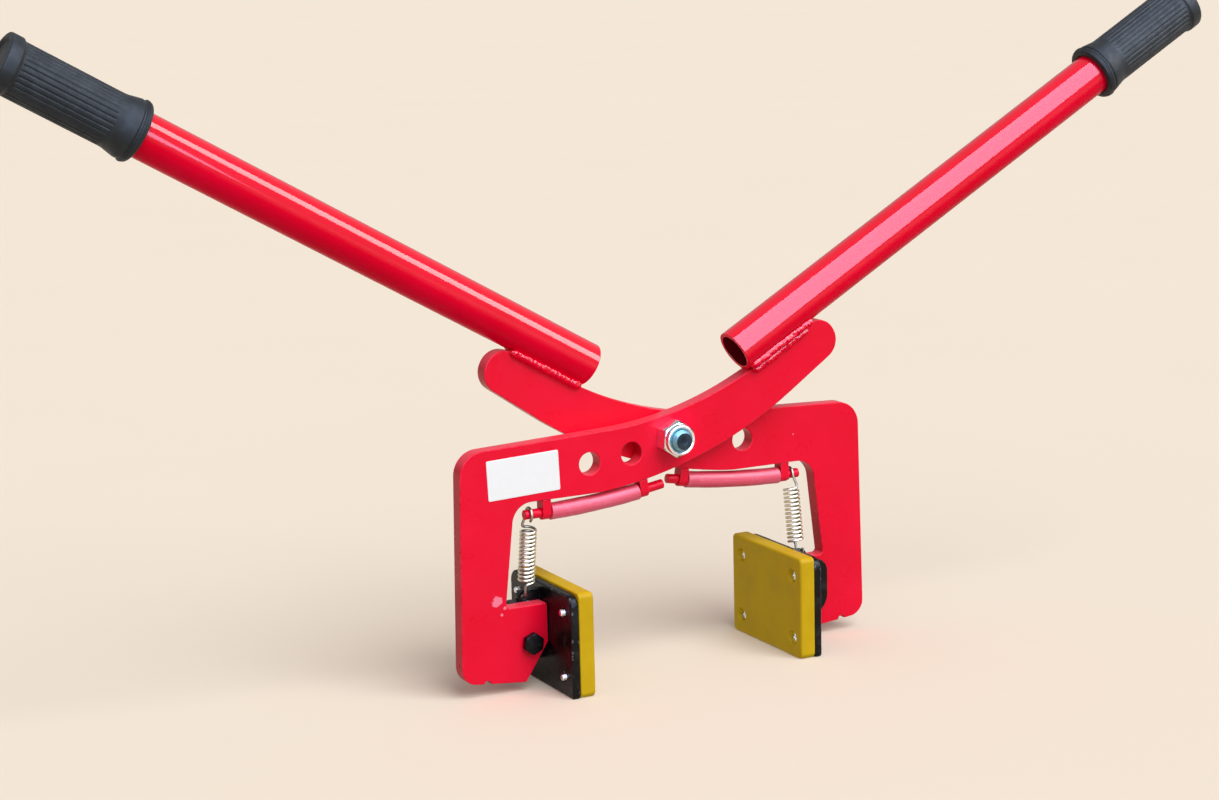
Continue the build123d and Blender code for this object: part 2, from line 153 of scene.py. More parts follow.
class Recipe:
    """A node tree in the making."""

    def __init__(self, tree):
        self.tree = tree

    def node(self, kind, settings=None, sockets=None, out=0):
        """Add a node: its settings first, then the values or links of its sockets."""
        made = self.tree.nodes.new(kind)
        for name, value in (settings or {}).items():
            setattr(made, name, value)
        for name, value in (sockets or {}).items():
            feed(self.tree, made.inputs[name], value)
        return Flow(self.tree, made.outputs[out])

    def between(self, value, low, high):
        """0 below low, 1 above high and a soft step between them."""
        settings = {"interpolation_type": "SMOOTHSTEP"}
        sockets = {"Value": value, "From Min": low, "From Max": high}
        return self.node("ShaderNodeMapRange", settings, sockets)


print("sums ready")

# %% [markdown]
# ## Materials
# Each finish is one Principled shader. What changes over its surface goes to colour, roughness and bump
# alone, and everything else is a plain number on the shader. Textures read Object coordinates, so a
# size in metres means the same on every piece, and nothing slides when an arm turns.

# %% One finish
def paint(red, green, blue):
    """A colour as a screen shows it, 0 to 255, in the linear numbers that a shader takes."""
    shares = [c / 255 for c in (red, green, blue)]
    return tuple(((s + 0.055) / 1.055) ** 2.4 if s > 0.04 else s / 12.92 for s in shares) + (1,)


class Finish(Recipe):
    """A material with its shader, and the name of the record's slot that it belongs to."""

    def __init__(self, name, slot, **numbers):
        self.material = bpy.data.materials.new(name)
        self.material.use_nodes = True
        super().__init__(self.material.node_tree)
        self.slot = slot
        self.shader = self.tree.nodes["Principled BSDF"]
        self.place = self.node("ShaderNodeTexCoord", out="Object")
        # A name such as specular_ior_level stands for the socket Specular IOR Level
        for socket, number in numbers.items():
            self.set(socket.replace("_", " ").title().replace("Ior", "IOR"), number)

    def set(self, socket, value):
        feed(self.tree, self.shader.inputs[socket], value)

    def noise(self, size, detail=2, place=None):
        """Cloudy noise from 0 to 1, whose patches are about size metres along x, y and z."""
        sizes = size if isinstance(size, tuple) else (size,) * 3
        scale = tuple(1 / s for s in sizes)
        spread = self.node("ShaderNodeMapping", None, {"Vector": place or self.place, "Scale": scale})
        cloud = self.node("ShaderNodeTexNoise", None, {"Vector": spread, "Scale": 1, "Detail": detail})
        return self.between(cloud, 0.25, 0.75)

    def mark(self, name):
        """A number that the mesh carries on its faces or points."""
        return self.node("ShaderNodeAttribute", {"attribute_name": name}, out="Fac")

    def mix(self, share, first, second):
        """From the first colour to the second."""
        return self.node("ShaderNodeMix", {"data_type": "RGBA"}, {0: share, 6: first, 7: second}, out=2)

    def spot(self, centre, radius, ragged):
        """1 within a radius of a point, with a ragged rim."""
        sockets = {0: self.place, 1: centre}
        reach = self.node("ShaderNodeVectorMath", {"operation": "DISTANCE"}, sockets, out=1)
        return 1 - self.between(reach + ragged * radius, radius, radius * 1.2)

    def relief(self, height):
        """Bump from a height in metres."""
        bump = self.node("ShaderNodeBump", None, {"Height": height, "Distance": 1, "Strength": 1})
        self.set("Normal", bump)


print("materials begin here")

# %% [markdown]
# ## Red enamel
# The arms and tubes are sprayed with one coat of gloss red. On flame-cut plate the paint follows the
# drag lines of the cut, thins on the edges and has an orange-peel skin. Painted shade darkens the cut
# sides that don't face up, and a painted highlight lightens those that face up. The tube's bore gets
# painted shade too. A few pale pink spots, the largest at the front toe, are painted in, rougher and a
# little sunken. An image could carry all this, but noise needs no unwrapping and keeps its scale. The
# tubes are drawn smooth, so they get the same paint with less peel and a gloss coat, which lies on top
# and misses the underside.

# %% Red enamel
# Pale pink spots on the red paint: a centre in metres and a radius in metres.
PALE_SPOTS = (
    ((-0.1425, -0.0125, 0.0687), 0.0042),
    ((-0.1365, -0.0125, 0.0634), 0.0015),
    ((-0.1390, -0.0125, 0.0587), 0.0012),
    ((0.1102, 0.0005, 0.1583), 0.0007),
)


def red_enamel(name, rough, peel, coat, **numbers):
    """Red paint with a roughness, a height of its orange peel in metres and a share of gloss coat."""
    finish = Finish(name, "red_enamel", **numbers)
    edge, cut = finish.mark("edge"), finish.mark("cut")
    cloud = finish.noise(0.05, detail=4)
    grain = finish.noise(0.004, detail=3)
    colour = finish.mix(cloud, paint(236, 0, 40), paint(244, 1, 48))
    thin = edge * finish.between(grain, 0.25, 0.9) * 0.4
    colour = finish.mix(thin, colour, paint(250, 60, 92))
    facing = finish.node("ShaderNodeTexCoord", out="Normal")
    upward = finish.node("ShaderNodeSeparateXYZ", None, {"Vector": facing}, out="Z")
    drag = finish.noise((0.0011, 0.03, 0.0011), detail=2) * cut
    # Painted light on the cut faces: a painted highlight where they face up, painted shade on the rest,
    # with the drag lines a little darker.
    top_highlight = cut * finish.between(upward, 0.2, 0.7)
    colour = finish.mix((cut - top_highlight) * 0.5 + drag * 0.1, colour, paint(158, 0, 22))
    colour = finish.mix(top_highlight * 0.45, colour, paint(248, 92, 112))
    # Painted shade: the faces inside a tube's bore are darker red.
    colour = finish.mix(finish.mark("bore_shade"), colour, paint(120, 10, 24))
    chips = edge * finish.between(finish.noise(0.0032, detail=3), 0.93, 0.97)
    colour = finish.mix(chips, colour, paint(92, 66, 62))
    # Pale pink spots, painted with more roughness and a slight dent.
    pale_spots = 0
    for centre, radius in PALE_SPOTS:
        pale_spots = finish.spot(centre, radius, grain * 0.5) + pale_spots
    colour = finish.mix(pale_spots, colour, paint(252, 128, 152))
    finish.set("Base Color", colour)
    finish.set("Roughness", rough + 0.1 * finish.noise(0.02, detail=3) + 0.25 * chips + 0.15 * pale_spots)
    skin = finish.noise(0.0016, detail=1) * peel
    finish.relief(skin + drag * 0.00003 - chips * 0.00006 - pale_spots * 0.00004)
    finish.set("Coat Weight", finish.between(upward, -0.2, 0.1) * coat)
    return finish


plate_red = red_enamel(
    "red_enamel_on_plate", rough=0.26, peel=0.00001, coat=0, specular_ior_level=0.16
)
tube_red = red_enamel(
    "red_enamel_on_tube",
    rough=0.12,
    peel=0.000004,
    coat=1,
    specular_ior_level=0.04,
    coat_roughness=0.06,
)
print("red enamel for plates and for tubes")

# %% [markdown]
# ## Black enamel
# The jaws and their bolts are satin black. Site dust greys such a surface, and the edges rub through to
# bright metal, so the dust is broad noise and the rubbing is fine noise on the edge faces only.

# %% Black enamel
black = Finish("black_enamel", "black_enamel", specular_ior_level=0.17)
dust = black.between(black.noise(0.012, detail=5), 0.45, 1.0)
rubbed = black.mark("edge") * black.between(black.noise(0.003, detail=3), 0.8, 0.9)
tone = black.mix(dust * 0.06, paint(7, 7, 8), paint(112, 106, 98))
black.set("Base Color", black.mix(rubbed * 0.6, tone, paint(120, 122, 128)))
black.set("Metallic", rubbed * 0.6)
black.set("Roughness", 0.24 + 0.16 * dust + 0.08 * black.noise(0.004))
black.relief(black.noise(0.0018, detail=2) * 0.00002)
print("black enamel")

# %% [markdown]
# ## Zinc and steel
# The lock nut and the pad screws are bright zinc, the springs a warmer zinc on drawn wire, and the
# pivot bolt is plain oiled steel, bright where its thread was cut. All three are metals with slightly
# cloudy reflections, so one function makes them from a pair of colours and a roughness. Painted shade
# darkens the inner faces of the coils and the hooks.

# %% Zinc and steel
def bare_metal(name, slot, light, dark, rough, grain):
    """Metal between two colours, with a roughness and the size of its grain in metres."""
    finish = Finish(name, slot, metallic=1)
    colour = finish.mix(finish.noise(0.006, detail=4), light, dark)
    colour = finish.mix(finish.mark("edge"), colour, paint(116, 160, 170))
    # Painted shade where a mesh carries the inside mark: on the springs, the coil's inner faces and the
    # hooks.
    finish.set("Base Color", finish.mix(finish.mark("inside") * 0.85, colour, paint(60, 54, 42)))
    finish.set("Roughness", rough + 0.16 * finish.noise(0.003, detail=3))
    finish.relief(finish.noise(grain, detail=2) * 0.000006)
    return finish


BLUE_ZINC = paint(244, 247, 250), paint(226, 232, 237)
WARM_ZINC = paint(236, 230, 208), paint(212, 204, 178)
DARK_STEEL = paint(54, 62, 66), paint(36, 43, 47)

nut_zinc = bare_metal("bright_zinc", "bright_zinc", *BLUE_ZINC, rough=0.1, grain=0.002)
spring_zinc = bare_metal("spring_zinc", "spring_zinc", *WARM_ZINC, rough=0.26, grain=0.0005)
bolt_steel = bare_metal("oiled_steel", "bright_zinc", *DARK_STEEL, rough=0.38, grain=0.0008)
print("bright zinc, spring zinc and oiled steel")

# %% [markdown]
# ## Rubber, hose, pad, ring and label
# The soft pieces differ in how deep light goes. Grip rubber is dark and dull with a little sheen. The
# hose is soft red vinyl, drawn through a die, so its streaks run lengthwise and follow the hose's own
# wrap. The pad is cast polyurethane, slightly clear and mottled. The nut's ring is nylon, and the label
# is plain white vinyl.

# %% Grip rubber
rubber = Finish(
    "grip_rubber", "grip_rubber", sheen_weight=0.05, sheen_roughness=0.5, specular_ior_level=0.25
)
bloom = rubber.between(rubber.noise(0.01, detail=5), 0.4, 1.0)
rubber.set("Base Color", rubber.mix(bloom * 0.3, paint(25, 28, 29), paint(56, 62, 64)))
rubber.set("Roughness", 0.46 + 0.2 * rubber.noise(0.006, detail=3))
rubber.relief(rubber.noise(0.0007, detail=2) * 0.00002)
print("grip rubber")

# %% Hose vinyl
hose_red = Finish(
    "hose_vinyl", "hose_pvc", subsurface_weight=0.2, subsurface_scale=0.003, specular_ior_level=0.5
)
hose_red.set("Subsurface Radius", (1.0, 0.35, 0.35))
wrap = hose_red.node("ShaderNodeUVMap", {"uv_map": "wrap"})
streaks = hose_red.noise((0.016, 0.09, 1), detail=4, place=wrap)
rubs = hose_red.between(hose_red.noise(0.006, detail=5), 0.55, 1.0)
tone = hose_red.mix(streaks, paint(226, 66, 94), paint(236, 92, 118))
hose_red.set("Base Color", hose_red.mix(rubs * 0.1, tone, paint(244, 160, 172)))
hose_red.set("Roughness", 0.3 + 0.2 * rubs + 0.08 * streaks)
hose_red.relief(streaks * 0.00003 + hose_red.noise(0.001) * 0.00001)
print("hose vinyl")

# %% Pad polyurethane
pad_yellow = Finish(
    "pad_polyurethane",
    "pad_polyurethane",
    subsurface_weight=0.1,
    subsurface_scale=0.004,
    specular_ior_level=0.1,
)
pad_yellow.set("Subsurface Radius", (1.0, 0.6, 0.1))
mottle = pad_yellow.noise(0.018, detail=5)
pad_yellow.set("Base Color", pad_yellow.mix(mottle, paint(198, 160, 0), paint(208, 170, 3)))
pad_yellow.set("Roughness", 0.42 + 0.1 * mottle)
pad_yellow.relief(pad_yellow.noise(0.0012, detail=3) * 0.00002)
print("pad polyurethane")

# %% Ring nylon and label vinyl
ring_nylon = Finish(
    "ring_nylon", "insert_nylon", roughness=0.4, subsurface_weight=0.2, subsurface_scale=0.001
)
cloud = ring_nylon.noise(0.002)
ring_nylon.set("Base Color", ring_nylon.mix(cloud, paint(128, 186, 196), paint(150, 204, 212)))
ring_nylon.relief(ring_nylon.noise(0.0008) * 0.00001)

label_vinyl = Finish("label_vinyl", "label_vinyl", specular_ior_level=0.5)
smudge = label_vinyl.between(label_vinyl.noise(0.014, detail=5), 0.5, 1.0)
tone = label_vinyl.mix(smudge * 0.1, paint(246, 246, 247), paint(206, 200, 196))
label_vinyl.set("Base Color", tone)
label_vinyl.set("Roughness", 0.28 + 0.2 * smudge)
label_vinyl.relief(label_vinyl.noise(0.009) * 0.00002)
print("ring nylon and label vinyl")

# %% [markdown]
# ## Floor and light
# The floor is one pale sheet that runs past the top of the frame, and it throws no light back. A
# softbox close by would light it in a pool, so the key is a sun lamp spread over a wide angle, which is
# a softbox at infinity. Key and sky light a white surface to about white, so colours come out as they
# are written. Two more lamps only show in glossy surfaces: a window of sky gives the right tube its
# broad band, and a panel the left tube its streak.

# %% Floor
FLOOR_HALF_WIDTH = 60

sheet = bpy.data.meshes.new("floor")
ways = ((-1, -1), (1, -1), (1, 1), (-1, 1))
corners = [(x * FLOOR_HALF_WIDTH, y * FLOOR_HALF_WIDTH, 0) for x, y in ways]
sheet.from_pydata(corners, [], [(0, 1, 2, 3)])
floor_paper = Finish("floor_paper", None, specular_ior_level=0)
fibre = floor_paper.noise(0.4, detail=6)
floor_paper.set("Base Color", floor_paper.mix(fibre, paint(238, 225, 209), paint(239, 226, 210)))
floor_paper.set("Roughness", 0.8 + 0.1 * fibre)
sheet.materials.append(floor_paper.material)
floor = put("floor", sheet)
floor.visible_diffuse = False
print(f"floor {2 * FLOOR_HALF_WIDTH} m wide")

# %% Light
SKY = 0.44
KEY_AZIMUTH, KEY_ELEVATION, KEY_DISTANCE = radians(14), radians(48), 3
KEY_SPREAD, KEY_STRENGTH = radians(54), 2.6
STREAK_AZIMUTH, STREAK_ELEVATION, STREAK_DISTANCE = radians(58), radians(30), 2.2
STREAK_SIZE, STREAK_POWER = (0.8, 1.6), 33
WINDOW_AZIMUTH, WINDOW_ELEVATION, WINDOW_DISTANCE = radians(-8), radians(42.5), 8
WINDOW_SIZE, WINDOW_POWER, WINDOW_COLOUR = (11.6, 15), 3960, (0.53, 0.67, 1)
LEFT_TUBE_MIDDLE = Vector((-0.26, 0.0065, 0.34))


def lamp(kind, name, azimuth, elevation, distance, centre):
    """A lamp aimed at a centre, from a bearing off the front of the clamp and an angle above the floor."""
    way = Vector((sin(azimuth) * cos(elevation), -cos(azimuth) * cos(elevation), sin(elevation)))
    holder = put(name, bpy.data.lights.new(name, kind))
    holder.location = centre + way * distance
    holder.rotation_euler = way.to_track_quat("Z", "Y").to_euler()
    holder.visible_camera = False
    return holder


key = lamp("SUN", "key", KEY_AZIMUTH, KEY_ELEVATION, KEY_DISTANCE, Vector())
key.data.angle = KEY_SPREAD
key.data.energy = KEY_STRENGTH
key.visible_glossy = False
window = lamp("AREA", "window", WINDOW_AZIMUTH, WINDOW_ELEVATION, WINDOW_DISTANCE, Vector())
streak = lamp("AREA", "streak", STREAK_AZIMUTH, STREAK_ELEVATION, STREAK_DISTANCE, LEFT_TUBE_MIDDLE)
for panel, size, power in ((window, WINDOW_SIZE, WINDOW_POWER), (streak, STREAK_SIZE, STREAK_POWER)):
    panel.data.shape = "RECTANGLE"
    panel.data.size, panel.data.size_y = size
    panel.data.energy = power
    panel.visible_diffuse = False
window.data.color = WINDOW_COLOUR
world = bpy.data.worlds.new("sky")
world.use_nodes = True
world.node_tree.nodes["Background"].inputs["Color"].default_value = (1, 1, 1, 1)
world.node_tree.nodes["Background"].inputs["Strength"].default_value = SKY
bpy.context.scene.world = world
bpy.context.scene.view_settings.view_transform = "Standard"
print("key, window, streak and sky")

# %% [markdown]
# ## Putting a piece in place
# The rear arm is the front arm turned half round the upright axis, so each made piece is built once, on
# the front arm, and its mesh is copied and turned for the rear. A piece keeps its place in its mesh,
# rides on a body, and stands for the CAD node that it covers.

# %% Fit a piece
MM = 0.001
ARMS, JAWS = ("front", "rear"), ("left", "right")


def fit(name, mesh, finish, body, node):
    """Put a mesh in the scene as a finished piece on a body, in the place of its CAD node."""
    mesh.name = name
    mesh.materials.clear()
    mesh.materials.append(finish.material)
    piece = put(name, mesh)
    if body:
        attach(piece, body)
    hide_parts(node)
    print(f"{name}: {len(mesh.polygons)} faces")
    return piece


def to_rear(shift=0):
    """From a place on the front arm to its twin on the rear arm, shifted by some millimetres."""
    return Matrix.Rotation(pi, 4, "Z") @ Matrix.Translation((shift * MM, 0, 0))


def fit_pair(made, mesh, finish, node, pair=ARMS, bodies=("front_arm", "rear_arm"), shift=0):
    """The same piece on both arms, the rear one shifted along its arm by some millimetres."""
    other = mesh.copy()
    other.transform(to_rear(shift))
    return [
        fit(f"{side}_{made}", shape, finish, body, f"{side}_{node}")
        for side, body, shape in zip(pair, bodies, (mesh, other))
    ]


def plain_mesh(holder):
    """What an object's modifiers make, as a plain mesh. The modifiers and the object are removed."""
    graph = bpy.context.evaluated_depsgraph_get()
    mesh = bpy.data.meshes.new_from_object(holder.evaluated_get(graph))
    holder.modifiers.clear()
    bpy.data.objects.remove(holder)
    return mesh


def even_shading(mesh):
    """The mesh with its normals led by its large faces, so that flats stay flat beside a rounding."""
    holder = put("holder", mesh)
    holder.modifiers.new("normals", "WEIGHTED_NORMAL").keep_sharp = True
    return plain_mesh(holder)


print("pieces can be fitted")

# %% [markdown]
# ## Plates with softened edges
# Flame-cut plate, the jaw's plates and the welded eyes are flat forms, and the CAD model has their
# outlines. What it lacks is the soft edge that catches the light. A copy of the CAD mesh is merged, its
# flat triangles are joined, and its sharp edges are bevelled. The bevel's faces are marked as edge, and
# the faces across the plate as cut, so that the paint knows where it is thin and where the torch went.
# The red paint also uses the cut mark for painted shade on the sides and a painted highlight on top.

# %% Soften a CAD node
MERGE_DISTANCE, FLAT_ANGLE, SHARP_ANGLE, BEVEL_SEGMENTS = 2e-6, radians(0.5), radians(35), 3


def softened(node, rounding):
    """A copy of a CAD node's mesh with its sharp edges rounded off, in millimetres."""
    shape = bmesh.new()
    shape.from_mesh(frame["nodes"][node].data)
    edge = shape.faces.layers.float.new("edge")
    cut = shape.faces.layers.float.new("cut")
    bmesh.ops.remove_doubles(shape, verts=shape.verts, dist=MERGE_DISTANCE)
    bmesh.ops.dissolve_limit(shape, angle_limit=FLAT_ANGLE, verts=shape.verts, edges=shape.edges)
    paired = [e for e in shape.edges if len(e.link_faces) == 2]
    sharp = [e for e in paired if e.calc_face_angle() > SHARP_ANGLE]
    numbers = {"offset": rounding * MM, "segments": BEVEL_SEGMENTS, "profile": 0.5}
    rounded = bmesh.ops.bevel(shape, geom=sharp, affect="EDGES", clamp_overlap=False, **numbers)
    shape.normal_update()
    for face in shape.faces:
        face.smooth = True
        face[cut] = float(abs(face.normal.y) < 0.5)
    for face in rounded["faces"]:
        face[edge], face[cut] = 1, 0
    mesh = bpy.data.meshes.new(node)
    shape.to_mesh(mesh)
    shape.free()
    return even_shading(mesh)


def fit_softened(side, made, node, finish, body, rounding):
    """A softened CAD node of one side as a finished piece on a body of that side."""
    mesh = softened(f"{side}_{node}", rounding)
    fit(f"{side}_{made}", mesh, finish, f"{side}_{body}", f"{side}_{node}")


for side in ARMS:
    fit_softened(side, "arm_painted", "arm_plate", plate_red, "arm", rounding=0.8)
    fit_softened(side, "eyes_painted", "rod_eyes", plate_red, "arm", rounding=0.7)

# %% Jaw plates, lugs and spring eyes
for side in JAWS:
    fit_softened(side, "backing_painted", "backing_plate", black, "jaw", rounding=1.4)
    fit_softened(side, "lug_painted", "jaw_lug", black, "jaw", rounding=0.8)
    fit_softened(side, "spring_eye_painted", "spring_eye", black, "jaw", rounding=0.4)

# %% Pads
for side in JAWS:
    fit_softened(side, "pad_cast", "pad", pad_yellow, "jaw", rounding=0.9)

# %% [markdown]
# ## Turned pieces
# Tubes, grips, rods, hoses, nuts and bolts are all rings along a line. The Screw modifier could spin a
# profile or wind a thread, but it can't follow a bent rod or make a hexagon. So one function skins rings
# of points: the line says where a ring sits, and the section says how far out it is at each angle. It
# also lays a wrap, a UV map with the turn across and the run along, for finishes that follow the piece.

# %% Skin rings along a line
SAME_PLACE, EASE_STEPS = 1e-7, 4


def closed_up(mesh):
    """The mesh with its seams merged, its faces turned outwards and smooth."""
    shape = bmesh.new()
    shape.from_mesh(mesh)
    bmesh.ops.remove_doubles(shape, verts=shape.verts, dist=SAME_PLACE)
    bmesh.ops.recalc_face_normals(shape, faces=shape.faces)
    for face in shape.faces:
        face.smooth = True
    shape.to_mesh(mesh)
    shape.free()
    return mesh


def turned(line, section, sides, loop=False):
    """A mesh over rings: line(along) gives a centre and two ways, section(angle) its (radius, along)."""
    angles = [2 * pi * k / sides for k in range(sides)]
    columns = [section(angle) for angle in angles]
    count = len(columns[0])
    points, faces, wrap = [], [], []
    for ring in range(count):
        for angle, column in zip(angles, columns):
            radius, along = column[ring]
            centre, across, up = line(along)
            points.append((centre + radius * (cos(angle) * across + sin(angle) * up)) * MM)
    for ring in range(count if loop else count - 1):
        after = (ring + 1) % count
        for k in range(sides):
            n = (k + 1) % sides
            faces.append((ring * sides + k, ring * sides + n, after * sides + n, after * sides + k))
            near, far = columns[k][ring][1] * MM, columns[k][after][1] * MM
            left_turn, right_turn = k / sides, (k + 1) / sides
            wrap += [(left_turn, near), (right_turn, near), (right_turn, far), (left_turn, far)]
    mesh = bpy.data.meshes.new("turned")
    mesh.from_pydata(points, [], faces)
    layer = mesh.uv_layers.new(name="wrap")
    for loop_uv, place in zip(layer.data, wrap):
        loop_uv.uv = place
    around = mesh.attributes.new("around", "FLOAT", "POINT")
    around.data.foreach_set("value", angles * count)
    return closed_up(mesh)


def eased(corners, loop=False):
    """A profile of (radius, along, rounding) corners as points, with each corner rounded off."""
    points = []
    for k, (radius, along, rounding) in enumerate(corners):
        ends = not loop and k in (0, len(corners) - 1)
        if not rounding or ends:
            points.append((radius, along))
            continue
        corner = Vector((radius, along))
        before = (Vector(corners[k - 1][:2]) - corner).normalized() * rounding
        after = (Vector(corners[(k + 1) % len(corners)][:2]) - corner).normalized() * rounding
        for step in range(EASE_STEPS + 1):
            share = step / EASE_STEPS
            point = corner + before * (1 - share) ** 2 + after * share**2
            points.append((point.x, point.y))
    return points


print("rings can be skinned")

# %% [markdown]
# ## Handle tubes
# A handle is drawn tube, 32 mm across with a 3 mm wall, cut square. Its inner end is open and shows the
# bore, so the profile is a closed loop round the wall, with the cut's edges broken.

# %% Handle tubes
PIVOT_HEIGHT, PLATE_MIDDLE, PLATE_OUTER = 171, 6.5, 12.5
HANDLE_ANGLE, HANDLE_OFFSET = radians(30), 20
TUBE_RADIUS, TUBE_BORE, TUBE_START, TUBE_END = 16, 13, 77.5, 545.5
OUT = Vector((0, -1, 0))
HANDLE_WAY = Vector((cos(HANDLE_ANGLE), 0, sin(HANDLE_ANGLE)))
HANDLE_UP = Vector((-sin(HANDLE_ANGLE), 0, cos(HANDLE_ANGLE)))


def handle_line(along):
    """Section across the front handle tube, some way from the pivot."""
    pivot = Vector((0, -PLATE_MIDDLE, PIVOT_HEIGHT))
    return pivot + HANDLE_WAY * along + HANDLE_UP * HANDLE_OFFSET, OUT, HANDLE_UP


tube_corners = [
    (TUBE_RADIUS, TUBE_START, 0.5),
    (TUBE_RADIUS, TUBE_END, 0.5),
    (TUBE_BORE, TUBE_END, 0.4),
    (TUBE_BORE, TUBE_START, 0.4),
]
tube_wall = eased(tube_corners, loop=True)
tube = even_shading(turned(handle_line, lambda angle: tube_wall, sides=96, loop=True))
# The faces inside the bore are marked for the red paint's painted shade.
bore_shade = tube.attributes.new("bore_shade", "FLOAT", "FACE")
for face, share in zip(tube.polygons, bore_shade.data):
    from_pivot = face.center / MM - handle_line(0)[0]
    off_axis = from_pivot - HANDLE_WAY * from_pivot.dot(HANDLE_WAY)
    share.value = float(off_axis.length < TUBE_BORE + 0.1)
fit_pair("tube_painted", tube, tube_red, "handle_tube")

# %% [markdown]
# ## Geometry Nodes jigs
# Ribs, weld ripples, spring wire and screws repeat or follow a path, which is what Geometry Nodes are
# good at. A jig is a tree with named inputs. It runs on one source mesh, and its result is kept as a
# plain mesh, because live instances would be lost on export.

# %% Jigs
class Jig(Recipe):
    """A Geometry Nodes tree with named inputs, run on a source mesh."""

    def __init__(self, name, **kinds):
        super().__init__(bpy.data.node_groups.new(name, "GeometryNodeTree"))
        sockets = self.tree.interface
        sockets.new_socket("Geometry", in_out="INPUT", socket_type="NodeSocketGeometry")
        self.identifiers = {}
        for label, kind in {**kinds, "material": "Material"}.items():
            made = sockets.new_socket(label, in_out="INPUT", socket_type=f"NodeSocket{kind}")
            self.identifiers[label] = made.identifier
        sockets.new_socket("Geometry", in_out="OUTPUT", socket_type="NodeSocketGeometry")
        self.given = self.tree.nodes.new("NodeGroupInput")
        self.source = self.input("Geometry")

    def input(self, label):
        return Flow(self.tree, self.given.outputs[label])

    def along_normal(self, geometry, height):
        """Move points out along their normals by a height."""
        normal = self.node("GeometryNodeInputNormal")
        offset = self.node("ShaderNodeVectorMath", {"operation": "SCALE"}, {0: normal, "Scale": height})
        return self.node("GeometryNodeSetPosition", None, {"Geometry": geometry, "Offset": offset})

    def close(self, geometry):
        """End the tree: real geometry, smooth, with its material."""
        real = self.node("GeometryNodeRealizeInstances", None, {"Geometry": geometry})
        smooth = self.node("GeometryNodeSetShadeSmooth", None, {"Geometry": real})
        finished = self.node(
            "GeometryNodeSetMaterial", None, {"Geometry": smooth, "Material": self.input("material")}
        )
        result = self.tree.nodes.new("NodeGroupOutput")
        self.tree.links.new(finished.socket, result.inputs[0])

    def run(self, source, finish, **values):
        """The tree's result on a source mesh, as a plain mesh."""
        holder = put("holder", source)
        modifier = holder.modifiers.new(self.tree.name, "NODES")
        modifier.node_group = self.tree
        for label, value in {**values, "material": finish.material}.items():
            modifier[self.identifiers[label]] = value
        return plain_mesh(holder)


print("jigs ready")

# %% [markdown]
# ## Grips
# A moulded rubber grip is pushed over each tube's end. It has a rolled lip and a cone at its mouth, a
# ribbed middle, a thicker rim and a dished end. The plain form is turned, and a jig cuts narrow grooves
# between the ribs, where the mesh says it is ribbed.

# %% Grips
GRIP_MOUTH, GRIP_END, GRIP_BORE = 447.5, 549.5, 16.1
RIBBED_FROM, RIBBED_TO = 469, 537

grip_corners = [
    (0, TUBE_END, 0),
    (GRIP_BORE, TUBE_END, 0.3),
    (GRIP_BORE, GRIP_MOUTH + 0.8, 0.5),
    (17.2, GRIP_MOUTH, 0.5),
    (20.4, GRIP_MOUTH, 1.4),
    (22, GRIP_MOUTH + 2.2, 1.6),
    (22, GRIP_MOUTH + 4.2, 0.9),
    (20.6, GRIP_MOUTH + 5, 0.5),
    (20.3, GRIP_MOUTH + 6, 0.5),
    (21.2, GRIP_MOUTH + 7, 0.6),
    (20.9, GRIP_MOUTH + 9, 0.8),
    (19.1, RIBBED_FROM - 4, 2),
    (19, RIBBED_FROM - 1, 0.5),
    (19, RIBBED_FROM, 0),
    (19, RIBBED_FROM + 2, 0),
    (19, RIBBED_TO - 2, 0),
    (19, RIBBED_TO, 0),
    (19.1, GRIP_END - 10.5, 1),
    (20.5, GRIP_END - 9, 0.8),
    (20.5, GRIP_END, 1.8),
    (16.6, GRIP_END, 0.9),
    (15.4, GRIP_END - 1.8, 0.7),
    (0, GRIP_END - 1.4, 0),
]
grip_profile = eased(grip_corners)
plain_grip = turned(handle_line, lambda angle: grip_profile, sides=360)
print(f"plain grip: {len(plain_grip.polygons)} faces")

# %% Ribs on the grips
GRIP_RIBS, GROOVE_DEPTH, GROOVE_SHARPNESS, RIBBED_INSIDE = 30, 0.0008, 5, 18

ribbed = plain_grip.attributes.new("ribbed", "FLOAT", "POINT")
for point, share in zip(plain_grip.vertices, ribbed.data):
    along = (point.co / MM - handle_line(0)[0]).dot(HANDLE_WAY)
    off_axis = point.co / MM - handle_line(along)[0]
    share.value = float(RIBBED_FROM < along < RIBBED_TO and off_axis.length > RIBBED_INSIDE)

groover = Jig("rib grooves", ribs="Int", depth="Float")
turn_angle = groover.node("GeometryNodeInputNamedAttribute", None, {"Name": "around"})
share = groover.node("GeometryNodeInputNamedAttribute", None, {"Name": "ribbed"})
wave = turn_angle.sum("COSINE", turn_angle * groover.input("ribs"))
groove = (0.5 + 0.5 * wave) ** GROOVE_SHARPNESS * share * groover.input("depth")
groover.close(groover.along_normal(groover.source, 0 - groove))
grip = groover.run(plain_grip, rubber, ribs=GRIP_RIBS, depth=GROOVE_DEPTH)
fit_pair("grip_moulded", grip, rubber, "grip")

# %% [markdown]
# ## Weld beads
# Beads run along either side of the arm's end, in the corner under the tube: two runs on the outer
# side, where the corner is wide, and one on the inner side. A hand-laid bead is a row of frozen ripples
# that wanders and tapers where the arc starts and stops. The jig sweeps a circle along each seam, thins
# it at both ends, and pushes the skin out with a ripple and seeded noise of two sizes.

# %% Jig for a weld bead
BEAD_SIDES, RIPPLE_LEAN, LUMP_SCALE, LEAN_SCALE = 24, 9, 130, 420

